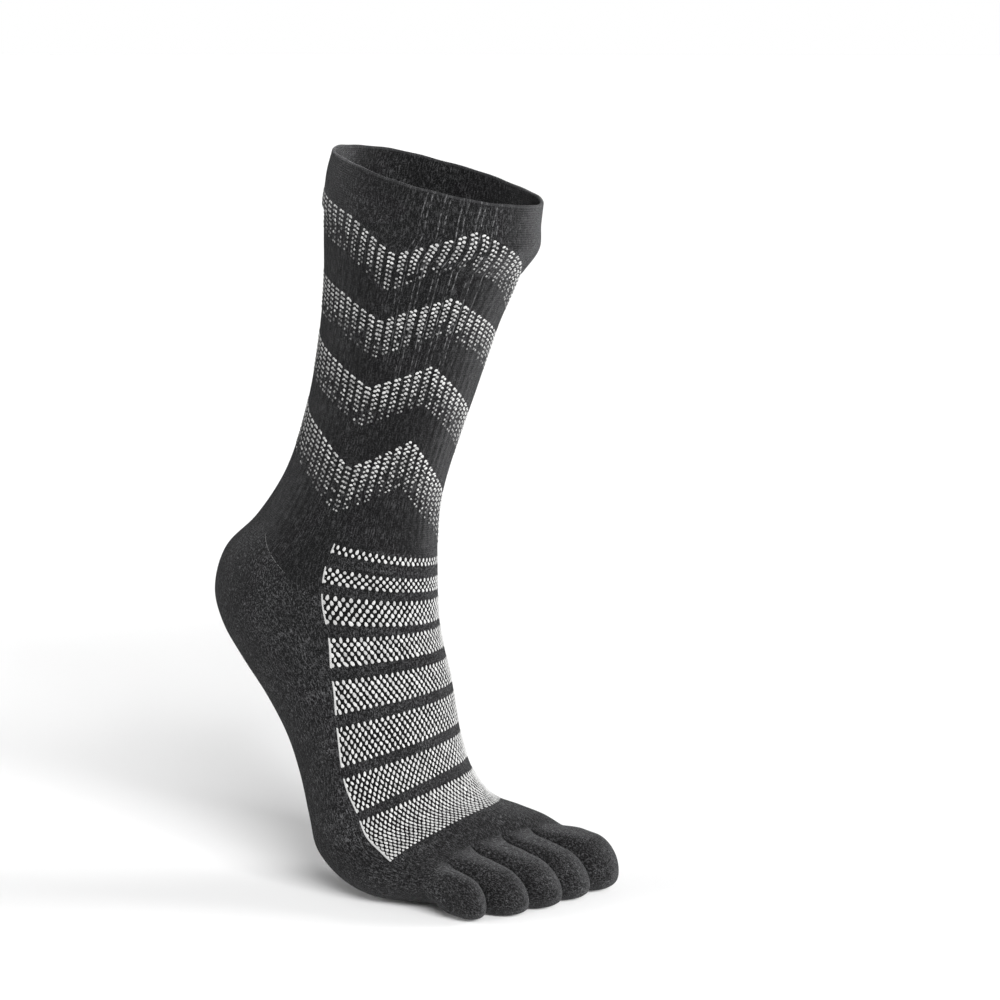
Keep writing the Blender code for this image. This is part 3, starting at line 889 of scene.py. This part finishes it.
def back_strip(top, bottom, count):
    """Rows and angles round the sides and back, between two seams given by angle.

    The end columns follow the panel's sides, where row and angle depend on each other,
    so fourteen rounds of the same steps settle them.
    """
    around = np.linspace(0, 1, ACROSS_BACK + 1)
    down = np.linspace(0, 1, count)[:, None]
    angle = np.broadcast_to(75 + 215 * around, (count, ACROSS_BACK + 1)).copy()
    for _ in range(14):
        row = part_way(top(angle), bottom(angle), down)
        lateral, medial = side_angle(row, 1), 360 + side_angle(row, 3)
        angle = part_way(lateral, medial, around)
    return row, angle


def fabric_grid(row, angle):
    """A grid of fabric points with their wale and course numbers."""
    return fabric(row, angle), wale_at(angle), course_at(row, angle)


front_share = np.linspace(0, 1, ACROSS_FRONT + 1)
back_share = np.linspace(0, 1, ACROSS_BACK + 1)


def all_round(medial, lateral, full=0):
    """Values over the front from the big toe's side, and on round the back to it again."""
    return np.concatenate([
        part_way(medial, lateral, front_share),
        part_way(lateral, full + medial, back_share)[1:],
    ])


print("columns round the sock:", ACROSS_FRONT + ACROSS_BACK)

# %% [markdown]
# ## The ribbed leg
# The leg is a full tube from the welt to the top of the mesh panel. Below that only its
# sides and back go on, down to the heel pocket's upper gore. Two grids make it: a closed
# tube, and a strip that starts on the tube's last row of points.

# %% Make the leg
LEG_STEPS, TAB_STEPS = 116, 34
SEAM_RISE = 0.45        # how far above the heel pocket the tube ends at the back, in rows
row_lat0, angle_lat0, row_med0, angle_med0 = panel_edges(0.0)
tube_angle = all_round(angle_med0, angle_lat0, 360)
tube_level = part_way(row_lat0, row_med0, back_share)
tube_rise = (HEEL_TOP_ROW - SEAM_RISE - tube_level) * np.sin(back_share * np.pi)**2
tube_end = np.concatenate([
    part_way(row_med0, row_lat0, front_share), (tube_level + tube_rise)[1:],
])


def make_leg():
    """Tube rows run evenly from the welt to the seam; the strip runs on to the gore."""
    down = np.linspace(0, 1, LEG_STEPS)[:, None]
    top = hem_row(tube_angle)
    tube = fabric_grid(part_way(top, tube_end, down), tube_angle + 0 * down)
    back_angle = tube_angle[ACROSS_FRONT:]
    back_end = tube_end[ACROSS_FRONT:]
    row, angle = back_strip(lambda a: np.interp(a, back_angle, back_end), upper_gore, TAB_STEPS)
    strip = fabric_grid(row, angle)
    strip[0][0] = tube[0][-1, ACROSS_FRONT:]
    return fabric_piece("ribbed_leg", [tube, strip], leg_knit, "leg", KNIT_WALL)


leg = make_leg()

# %% [markdown]
# ## The heel pocket
# The heel is turned in knitting by short rows that make a pocket between two gore lines.
# It is plain knit, so it has no ribs, and it is one strip from the upper gore to the lower.

# %% Make the heel
HEEL_STEPS = 74
heel_row, heel_angle = back_strip(upper_gore, lower_gore, HEEL_STEPS)
heel_grid = fabric_grid(heel_row, heel_angle)
heel = fabric_piece("heel_pocket", [heel_grid], heel_knit, "heel", KNIT_WALL)

# %% [markdown]
# ## The foot
# The sole and sides run from the heel's lower gore to the forefoot, where the strip turns
# into a full ring in front of the panel. The ring's last row is the mouth of the toes,
# already dipped at each border so that the toes grow out of it.

# %% Make the foot
SOLE_STEPS, RING_STEPS = 92, 40
row_lat1, angle_lat1, row_med1, angle_med1 = panel_edges(1.0)


def make_foot():
    """A strip under the panel and a closed ring beyond it, sharing one row of points."""
    def join(angles):
        share = (np.asarray(angles) - angle_lat1) / (360 + angle_med1 - angle_lat1)
        return part_way(row_lat1, row_med1, np.clip(share, 0, 1))

    row, angle = back_strip(lower_gore, join, SOLE_STEPS)
    strip = fabric_grid(row, angle)
    ring_angle = all_round(angle_med1, angle_lat1, 360)
    start = all_round(row_med1, row_lat1)
    down = np.linspace(0, 1, RING_STEPS)[:, None]
    ring = fabric_grid(part_way(start, LAST_ROW, down), ring_angle + 0 * down)
    strip[0][-1] = ring[0][0, ACROSS_FRONT:]
    return fabric_piece("foot_knit_tube", [strip, ring], foot_knit, "foot", KNIT_WALL)


foot = make_foot()

# %% [markdown]
# ## The toe pockets
# Each pocket starts as its own slice of the dipped mouth and turns into a plump round
# toe. Between those two forms the ring is a blend, and the tip closes like the end of a
# ball. The ring's path runs from the middle of the slice to the middle of the tip.

# %% Make the toes
TOE_ROUND_FROM, TOE_FORMED_AT = 0.62, 0.42
TOE_SQUARE_ROOT, TOE_SQUARE_TIP = 7.0, 2.2     # 2 is round
TOE_GAP = 0.00015       # half of the gap between two toes
EARLIER_ROW = 0.33      # from the ring before the mouth to the mouth, in rows
TOE_HEADING = 0.62      # how strongly a toe keeps the foot's direction
TIP_SINK = 0.35         # how far a closing tip sinks, as a share of its half height
TOE_ARC, TOE_SIDE, TOE_ROWS = 26, 12, 52
TOE_WALE = 0.00082      # width of a wale on the toes


def mouth_angle(share, upper_side):
    """The angle at which the mouth reaches a share of its half width, above or below."""
    angles = np.linspace(-80, 90, 1361) if upper_side else np.linspace(270, 90, 1361)
    across = ring_point(BODY, LAST_ROW + 0 * angles, angles)[:, 1] / BODY[-1, 4]
    return np.interp(share, across[::-1], angles[::-1])


def mouth_slice(low, high):
    """The closed ring of one toe's part of the mouth, and the same ring a little earlier.

    Fabric arcs run above and below, and straight webs join them at the toe's sides. The
    earlier ring is read a third of a row before the mouth, so the step between the two
    gives the direction in which the fabric is heading.
    """
    web = np.linspace(0, 1, TOE_SIDE + 2)[1:-1, None]
    arc = 2 * TOE_ARC + TOE_SIDE
    shares = np.linspace(high, low, TOE_ARC)
    if low <= -1:
        arcs = [np.linspace(mouth_angle(high, True), mouth_angle(high, False), arc)]
    elif high >= 1:
        arcs = [np.linspace(mouth_angle(low, False) - 360, mouth_angle(low, True), arc)]
    else:
        arcs = [mouth_angle(shares, True), mouth_angle(shares[::-1], False)]
    rings = []
    for row in (LAST_ROW, LAST_ROW - EARLIER_ROW):
        parts = [fabric(row, angles) for angles in arcs]
        ring = []
        for part, following in zip(parts, parts[1:] + parts[:1]):
            ring += [part, part_way(part[-1], following[0], web)]
        rings.append(np.concatenate(ring))
    return rings


def make_toe(name, low, high, tip_low, tip_high, reach, tall):
    """A round toe, plus what the mouth's ring and heading add near its start.

    The round toe is a path point plus a circle times the half width and height; its rows
    are close together at the tip because they follow a sine, and the tip closes as the
    quarter of an ellipse. Its circle is squared off at the root, from TOE_SQUARE_ROOT
    there to TOE_SQUARE_TIP. The ring's difference from it fades on a cubic, and so does
    the difference in heading, so the toe leaves the foot in the foot's own direction.
    """
    trim = TOE_GAP / BODY[-1, 4]
    own_low, own_high = low if low <= -1 else low + trim, high if high >= 1 else high - trim
    ring, before = mouth_slice(own_low, own_high)
    centre = (ring.max(axis=0) + ring.min(axis=0)) / 2
    offset = ring - centre
    base_half, base_tall = np.ptp(ring[:, 1]) / 2, np.ptp(ring[:, 2]) / 2
    turn = np.arctan2(offset[:, 2] / base_tall, offset[:, 1] / base_half)
    own_half = (tip_high - tip_low) * FOOT_WIDTH / 4 - TOE_GAP
    own_tall = tall * FOOT_WIDTH
    tip_y = (tip_low + tip_high) * FOOT_WIDTH / 4
    end = np.array([reach * FOOT_REACH, tip_y, -SOCK_DROP + own_tall])

    along = np.sin(np.linspace(0, 1, TOE_ROWS) * np.pi / 2)
    heading = unit(ring - before) * np.linalg.norm(end - centre) * TOE_HEADING
    closing = np.sqrt(1 - np.clip((along - TOE_ROUND_FROM) / (1 - TOE_ROUND_FROM), 0, 1)**2)
    path = part_way(centre, end, along[:, None])
    half_at = part_way(base_half, own_half, along)
    tall_at = part_way(base_tall, own_tall, along)
    path[:, 2] -= TIP_SINK * tall_at * (1 - closing)
    size = np.stack([np.ones_like(along), half_at, tall_at], axis=-1) * closing[:, None]
    to_root = (1 - along[:, None])**2.6
    power = 2 / (TOE_SQUARE_TIP + (TOE_SQUARE_ROOT - TOE_SQUARE_TIP) * to_root)
    aside, above = squared_off(np.cos(turn), power), squared_off(np.sin(turn), power)
    round_form = np.stack([0 * aside, aside, above], axis=-1)
    points = path[:, None] + round_form * size[:, None]
    first_step = (points[1] - points[0]) / along[1]
    t = np.clip(along / TOE_FORMED_AT, 0, 1)[:, None, None]
    leaving = 1 - 3 * t**2 + 2 * t**3
    turning = TOE_FORMED_AT * (t - 2 * t**2 + t**3)
    points = points + leaving * (ring - points[0]) + turning * (heading - first_step)
    points = np.concatenate([points, points[:, :1]], axis=1)
    steps = np.linalg.norm(np.diff(points, axis=1), axis=-1)[0]
    wales = np.concatenate([[0], np.cumsum(steps)]) / TOE_WALE
    drops = np.linalg.norm(np.diff(path, axis=0), axis=-1)
    courses = np.concatenate([[0], np.cumsum(drops)])[:, None] / COURSE
    grid = (points, wales + 0 * courses, courses + 0 * wales)
    return fabric_piece(name + "_pocket", [grid], toe_knit, name, TOE_WALL)


toes = [make_toe(*toe) for toe in TOES]

# %% [markdown]
# ## The mesh panel's ground
# Under the white stitches the panel is the same dark yarn, knitted more openly. In the bands
# the ground between the stitches is painted nearly black, painted shade for the open holes of
# the mesh, and in the stripes between the bands it is plain dark knit. A number on each point,
# called band, tells the two apart. The upper bands sag a little between the panel's sides.

# %% Make the panel's ground
PANEL_STEPS = 108
# band: start and end rows on the little toe's side, start and end rows on the big toe's
# side, how many rows it sags in between, number of stitch rows, number of stitch columns
# across the panel
MESH_BANDS = (
    (6.16, 6.45, 6.72, 6.98, 0.12, 2, 70),
    (6.91, 7.40, 7.30, 7.76, 0.14, 4, 70),
    (7.73, 8.69, 8.00, 8.72, 0.15, 6, 70),
    (9.16, 10.13, 9.00, 9.66, 0.04, 6, 78),
    (10.52, 11.48, 10.10, 10.86, 0.0, 7, 82),
    (11.84, 12.92, 11.20, 12.25, 0.0, 8, 84),
    (13.21, 14.22, 12.60, 13.30, 0.0, 8, 84),
    (14.50, 16.56, 13.80, 14.95, 0.0, 13, 92),
)


def band_sag(share):
    """0 at the panel's sides and 1 toward the little toe's side of its middle."""
    return np.sin(np.pi * share**1.5)


def make_panel():
    """Rows and angles blend straight from the big toe's side to the little toe's side."""
    course = np.linspace(0, 1, PANEL_STEPS)[:, None]
    row_lat, angle_lat, row_med, angle_med = panel_edges(course)
    row = part_way(row_med, row_lat, front_share)
    angle = part_way(angle_med, angle_lat, front_share)
    # painted shade: the band number marks where the mesh's open holes are painted nearly black
    mask = 0 * row
    for start_lat, end_lat, start_med, end_med, sag, _, _ in MESH_BANDS:
        lower = sag * band_sag(front_share)
        start = part_way(start_med, start_lat, front_share) + lower
        end = part_way(end_med, end_lat, front_share) + lower
        below_start = smooth_step(row, start - 0.03, start + 0.05)
        below_end = smooth_step(row, end - 0.05, end + 0.03)
        mask = np.maximum(mask, below_start * (1 - below_end))
    grid = fabric_grid(row, angle)
    return fabric_piece(
        "panel_ground", [grid], panel_knit, "instep_panel", KNIT_WALL, mask,
    )


# the panel's band number brings in painted shade for the open holes
panel_knit = dark_fabric("panel_knit", 0.52, 0.06, painted_light=HOLE_PAINTED_SHADE)
panel = make_panel()

# %% [markdown]
# ## White stitches
# The white stitches are real loops of thicker yarn on the face of the fabric, and they
# catch the light one by one, so they are modelled and not painted. One small closed
# leaf-shaped bead of a few dozen faces is made once, and whole arrays of places,
# directions and sizes turn it into thousands of stitches in one mesh.

# %% One stitch, repeated
BEAD_SIDES = 8
BEAD_LEVELS = np.radians((-50.0, -5.0, 35.0, 66.0))
STITCH_LIFT = 0.00005   # how far a stitch's middle lies above the fabric
WHITE_YARN, GREY_YARN = (0.385, 0.385, 0.380, 1), (0.016, 0.016, 0.017, 1)


def stitch_bead():
    """A closed bead: rings of a sphere, narrowed toward one end, with a pole at each end.

    Across is cos(level) cos(turn) times 1 minus 0.22 of the lengthwise place, along is
    cos(level) sin(turn), and height is sin(level).
    """
    turn = np.linspace(0, 2 * np.pi, BEAD_SIDES, endpoint=False)
    level = BEAD_LEVELS[:, None]
    along = np.cos(level) * np.sin(turn)
    across = np.cos(level) * np.cos(turn) * (1 - 0.22 * along)
    height = np.sin(level) + 0 * turn
    rings = np.stack([across, along, height], axis=-1).reshape(-1, 3)
    points = np.concatenate([rings, [[0, 0, -1.0], [0, 0, 1.0]]])
    index = np.arange(len(BEAD_LEVELS) * BEAD_SIDES).reshape(len(BEAD_LEVELS), BEAD_SIDES)
    after = np.roll(index, -1, axis=1)
    walls = np.stack([index[:-1], after[:-1], after[1:], index[1:]], axis=-1).reshape(-1, 4)
    low, high = len(points) - 2, len(points) - 1
    caps = np.concatenate([
        np.stack([after[0], index[0], low + 0 * index[0]], axis=-1),
        np.stack([index[-1], after[-1], high + 0 * index[-1]], axis=-1),
    ])
    return points, walls, caps


BEAD = stitch_bead()
print("triangles in one stitch:", 2 * len(BEAD[1]) + len(BEAD[2]))


def stitch_mesh(name, slot, row, angle, width, length, height, lean, bright):
    """Beads at rows and angles; lean turns each in the fabric's plane, in radians.

    The sizes, lean and brightness are one number for each stitch, or one for all.
    """
    bead, walls, caps = BEAD
    width, length, height, lean = (
        value + 0 * row for value in (width, length, height, lean)
    )
    down, around, out = fabric_axes(row, angle)
    centre = fabric(row, angle, STITCH_LIFT)
    along = np.cos(lean)[:, None] * -down + np.sin(lean)[:, None] * around
    across = np.cross(along, out)
    points = (
        centre[:, None] + across[:, None] * bead[None, :, :1] * width[:, None, None] / 2
        + along[:, None] * bead[None, :, 1:2] * length[:, None, None] / 2
        + out[:, None] * bead[None, :, 2:] * height[:, None, None] / 2
    )
    shift = np.arange(len(row))[:, None, None] * len(bead)
    walls = (walls[None] + shift).reshape(-1, 4)
    caps = (caps[None] + shift).reshape(-1, 3)
    mesh = bpy.data.meshes.new(name)
    mesh.from_pydata(points.reshape(-1, 3).tolist(), [], walls.tolist() + caps.tolist())
    mark_points(mesh, "brightness", np.repeat(bright + 0 * row, len(bead)))
    piece = smooth_object(name, mesh, white)
    finish_piece(piece, None)
    return piece


def white_yarn():
    """White yarn: brightness from the stitch's own number, with faint grey fibres."""
    material, tree, shader = new_material("white_yarn")
    place = tree.nodes.new("ShaderNodeTexCoord").outputs["Object"]
    fibres = noise(tree, place, 2200, 3, 0.65, 0.5)
    share = plus(tree, times(tree, fibres, 0.5), 0.72)
    share = maths(tree, "MINIMUM", times(tree, point_mark(tree, "brightness"), share), 1.0)
    colour = mixed(tree, share, GREY_YARN, WHITE_YARN)
    tree.links.new(colour, shader.inputs["Base Color"])
    raise_relief(tree, shader, fibres, 0.35, 0.0002)
    set_inputs(shader, Roughness=0.8, Specular_IOR_Level=0.25, Sheen_Weight=0.1)
    return material


white = white_yarn()

# %% [markdown]
# ## The zigzag bands
# Four zigzag bands go round the leg. Each rib has two raised wales, and in both of them
# the white stitches start at the band's upper line and repeat downward. Lower down they
# are smaller, dimmer and more often missing, so each band fades out at its lower edge.

# %% Make the zigzag stitches
# angle, then the row of the upper line of bands 1 to 4 there
ZIGZAG_LINES = np.array((
    (-180, 0.52, 1.75, 2.60, 3.64), (-120, 0.97, 2.08, 3.12, 4.45), (-75, 0.50, 1.60, 2.75, 4.00),
    (-30, 1.10, 2.20, 3.50, 5.10), (40, 0.42, 1.42, 2.58, 3.74), (80, 0.97, 2.09, 3.12, 4.45),
    (112, 0.66, 1.88, 2.89, 4.02), (145, 0.55, 1.79, 2.70, 3.78), (180, 0.52, 1.75, 2.60, 3.64),
), float)
BAND_ROWS = (9, 9, 9, 10)
BAND_PITCH = (0.00204, 0.00206, 0.00220, 0.00234)
ZIGZAG_WIDTH, ZIGZAG_LENGTH, ZIGZAG_HEIGHT = 0.00190, 0.00120, 0.0005

course_rows = np.linspace(0, LAST_ROW, 1901)


def row_below(row, angle, distance):
    """The row that lies a distance further down the fabric at one angle."""
    marks = course_at(course_rows, angle)
    start = np.interp(row, course_rows, marks)
    return np.interp(start + distance / COURSE, marks, course_rows)


def zigzag_places():
    """Row, angle, place in the band, side of the rib and band of each stitch.

    The place is 0 at the top of the band and 1 at its bottom.
    """
    found = []
    ribs = np.arange(WALES // RIB_WALES)
    for side in (-1, 1):
        angles = angle_at(RIB_WALES * ribs + RIB_WALES / 2 + side)
        for band in range(4):
            tops = np.interp(signed(angles), ZIGZAG_LINES[:, 0], ZIGZAG_LINES[:, 1 + band])
            step = np.arange(BAND_ROWS[band])
            place = step / step[-1]
            for angle, top in zip(angles, tops):
                rows = row_below(top, angle, (step + 0.5) * BAND_PITCH[band])
                same = [value + 0 * rows for value in (side, band)]
                found.append(np.stack([rows, angle + 0 * rows, place, *same], -1))
    return np.concatenate(found)


def make_zigzag():
    """Every stitch varies a little; lower ones are smaller, dimmer and more often missing.

    Round the sides and back all of them are dimmer: painted shade for the side turned away
    from the window light. The upper two bands are one piece and the lower two another,
    which keeps each light.
    """
    rng = np.random.default_rng(11)
    places = zigzag_places()
    places = places[rng.random(len(places)) < 1.25 - 0.55 * places[:, 2]]
    row, angle, place, side, band = places.T
    vary = rng.normal(0, 1, (4, len(row)))
    width = ZIGZAG_WIDTH * (1 - 0.45 * place) * (1 + 0.12 * vary[0])
    length = ZIGZAG_LENGTH * (1 + 0.16 * vary[1])
    # painted shade: stitches dimmed round the sides and back, away from the window light
    side_shade = smooth_step(angle % 360, 68, 108) * (1 - smooth_step(angle % 360, 290, 320))
    bright = np.clip(0.90 - 0.50 * place - 0.20 * side_shade + 0.18 * vary[2], 0.12, 1)
    lean = side * 0.30 + 0.24 * vary[3]
    numbers = np.stack([row, angle, width, length, ZIGZAG_HEIGHT + 0 * row, lean, bright])
    return [
        stitch_mesh(name, "leg_knit", *numbers[:, chosen])
        for name, chosen in (("zigzag_upper_bands", band < 2), ("zigzag_lower_bands", band >= 2))
    ]


zigzags = make_zigzag()

# %% [markdown]
# ## The mesh panel's stitches
# The panel's bands are a checker of slim leaf-shaped stitches, with a closed line of
# stitches along the panel's outer side. In each band the stitch rows are spread evenly
# from its upper to its lower edge, and every other row moves over by half a step.

# %% Make the mesh stitches
MESH_HEIGHT = 0.00045
BORDER_WIDTH, BORDER_LENGTH, BORDER_HEIGHT = 0.0009, 0.0015, 0.0006
BORDER_LEAN, BORDER_BRIGHT = 0.25, 0.80


def mesh_places():
    """Row, angle, row parity, row pitch and angle pitch for every stitch of the checker."""
    found = []
    for start_lat, end_lat, start_med, end_med, sag, count, across in MESH_BANDS:
        for step in range(count):
            down = (step + 0.5) / count
            columns = np.arange((step + across) % 2, across, 2)
            share = (columns + 0.5) / across
            row_lat = part_way(start_lat, end_lat, down)
            row_med = part_way(start_med, end_med, down)
            angle_lat, angle_med = side_angle(row_lat, 1), side_angle(row_med, 3)
            angle = part_way(angle_med, angle_lat, share)
            row = part_way(row_med, row_lat, share) + sag * band_sag(share)
            pitch = (end_lat - start_lat) / count
            turn = (angle_lat - angle_med) / across
            same = [value + 0 * row for value in (step % 2, pitch, turn)]
            found.append(np.stack([row, angle, *same], -1))
    return np.concatenate(found)


def local_sizes(row, angle, row_step, angle_step):
    """How long a step of rows and a step of angles are on the fabric here."""
    def length(rows, angles):
        end = bare_fabric(row + rows / 2, angle + angles / 2)
        return np.linalg.norm(end - bare_fabric(row - rows / 2, angle - angles / 2), axis=-1)

    return length(row_step, 0), length(0, angle_step)


def make_mesh_stitches():
    """Each stitch is about as wide and tall as its cell, and odd rows lean the other way."""
    row, angle, odd, pitch, turn = mesh_places().T
    rng = np.random.default_rng(5)
    vary = rng.normal(0, 1, (4, len(row)))
    tall, wide = local_sizes(row, angle, pitch, turn)
    width = wide * 0.98 * (1 + 0.10 * vary[0])
    length = tall * 1.12 * (1 + 0.10 * vary[1])
    bright = np.clip(0.90 + 0.12 * vary[2], 0.5, 1)
    lean = np.where(odd > 0, 0.30, -0.12) + 0.14 * vary[3]
    return stitch_mesh(
        "mesh_stitches", "mesh_knit", row, angle, width, length, MESH_HEIGHT, lean, bright,
    )


mesh_stitches = make_mesh_stitches()


def make_border():
    """Closely spaced stitches down the panel's outer side, band by band."""
    row = np.concatenate([
        np.linspace(start + 0.03, end - 0.03, 3 * count)
        for start, end, _, _, _, count, _ in MESH_BANDS
    ])
    return stitch_mesh(
        "panel_border", "mesh_knit", row, side_angle(row, 1) - 0.3,
        BORDER_WIDTH, BORDER_LENGTH, BORDER_HEIGHT, BORDER_LEAN, BORDER_BRIGHT,
    )


border = make_border()

# %% [markdown]
# ## The gore line
# Where the heel pocket is linked to the leg, a thin chain of the pale yarn shows as a
# faint line that slants down the ankle on each side. It is the same stitch once more,
# turned to lie along the gore, with a quarter of the stitches left out.

# %% Make the gore line
GORE_WIDTH, GORE_LENGTH, GORE_HEIGHT = 0.00040, 0.0013, 0.0003
GORE_SIDES = 367        # sum of the angles at which the line lies on the two sides


def make_gore_line():
    """Stitches along the upper gore; a small step along it gives each stitch's lean."""
    rng = np.random.default_rng(7)
    side = np.linspace(94, 120, 36)
    angle = np.concatenate([side, GORE_SIDES - side])
    angle = angle[rng.random(len(angle)) < 0.75]
    row = upper_gore(angle)
    step = fabric(upper_gore(angle + 0.5), angle + 0.5) - fabric(row, angle)
    down, around, _ = fabric_axes(row, angle)
    lean = np.arctan2((step * around).sum(axis=-1), -(step * down).sum(axis=-1))
    bright = np.clip(0.15 + 0.07 * rng.normal(0, 1, len(angle)), 0.05, 1)
    return stitch_mesh(
        "gore_line", "heel_knit", row, angle, GORE_WIDTH, GORE_LENGTH, GORE_HEIGHT, lean, bright,
    )


gore_line = make_gore_line()

# %% [markdown]
# ## Floor and light
# The studio is plain: a pale floor that runs on into a white background, and one low broad
# light from the right and front, as from a big window. Three suns side by side make it, so
# the whole floor is lit evenly and the shadow, which falls to the left and behind, is soft.
# Two wide suns low at the sides give the edges of the fabric their pale fuzz. The world
# lights everything dimly from all round, and the camera sees it as pure white.

# %% Make the floor and the lights
FLOOR_Z = -SOCK_DROP - 0.0004
FLOOR_HALF = 90.0
FLOOR_WHITE = (0.955, 0.955, 0.955, 1)
# degrees to the camera's right, and strength, of the three suns that make the window
WINDOW_SUNS = ((9, 2.0), (20, 2.0), (32, 1.55))
WINDOW_HEIGHT, WINDOW_SOFTNESS = 22, 12
LIT_WORLD, SEEN_WORLD = 0.175, 1.0


def make_floor():
    """A wide flat sheet under the toes, far larger than the view."""
    side = np.array([-FLOOR_HALF, FLOOR_HALF])
    x, y = np.meshgrid(side, side)
    points = np.stack([x, y, 0 * x + FLOOR_Z], axis=-1).reshape(-1, 3)
    floor = new_object("floor", new_mesh("floor", points, grid_faces(2, 2)))
    material, _, shader = new_material("pale_floor")
    set_inputs(shader, Base_Color=FLOOR_WHITE, Roughness=0.9, Specular_IOR_Level=0.1)
    floor.data.materials.append(material)
    return floor


def sun_light(name, aside, height, strength, softness):
    """A lamp that is infinitely far off, so many degrees to the camera's right and up."""
    lamp = new_object(name, bpy.data.lights.new(name, "SUN"))
    lamp.data.energy = strength
    lamp.data.angle = np.radians(softness)
    lamp.location = toward(TURN + np.radians(aside), np.radians(height))
    face(lamp, Vector((0, 0, 0)))


floor = make_floor()
for pane, (aside, strength) in enumerate(WINDOW_SUNS):
    sun_light(f"window_{pane}", aside, WINDOW_HEIGHT, strength, WINDOW_SOFTNESS)
sun_light("right_edge_light", 92, 6, 5.0, 40)
sun_light("left_edge_light", -80, 10, 1.9, 50)


def make_world():
    """Even pale light, with pure white where the camera looks past the floor."""
    world = bpy.data.worlds.new("studio")
    world.use_nodes = True
    tree = world.node_tree
    lit, seen = tree.nodes["Background"], tree.nodes.new("ShaderNodeBackground")
    set_inputs(lit, Color=(1, 1, 1, 1), Strength=LIT_WORLD)
    set_inputs(seen, Color=(1, 1, 1, 1), Strength=SEEN_WORLD)
    path, either = tree.nodes.new("ShaderNodeLightPath"), tree.nodes.new("ShaderNodeMixShader")
    tree.links.new(path.outputs["Is Camera Ray"], either.inputs[0])
    tree.links.new(lit.outputs[0], either.inputs[1])
    tree.links.new(seen.outputs[0], either.inputs[2])
    tree.links.new(either.outputs[0], tree.nodes["World Output"].inputs["Surface"])
    return world


bpy.context.scene.world = make_world()
bpy.context.scene.view_settings.view_transform = "Standard"
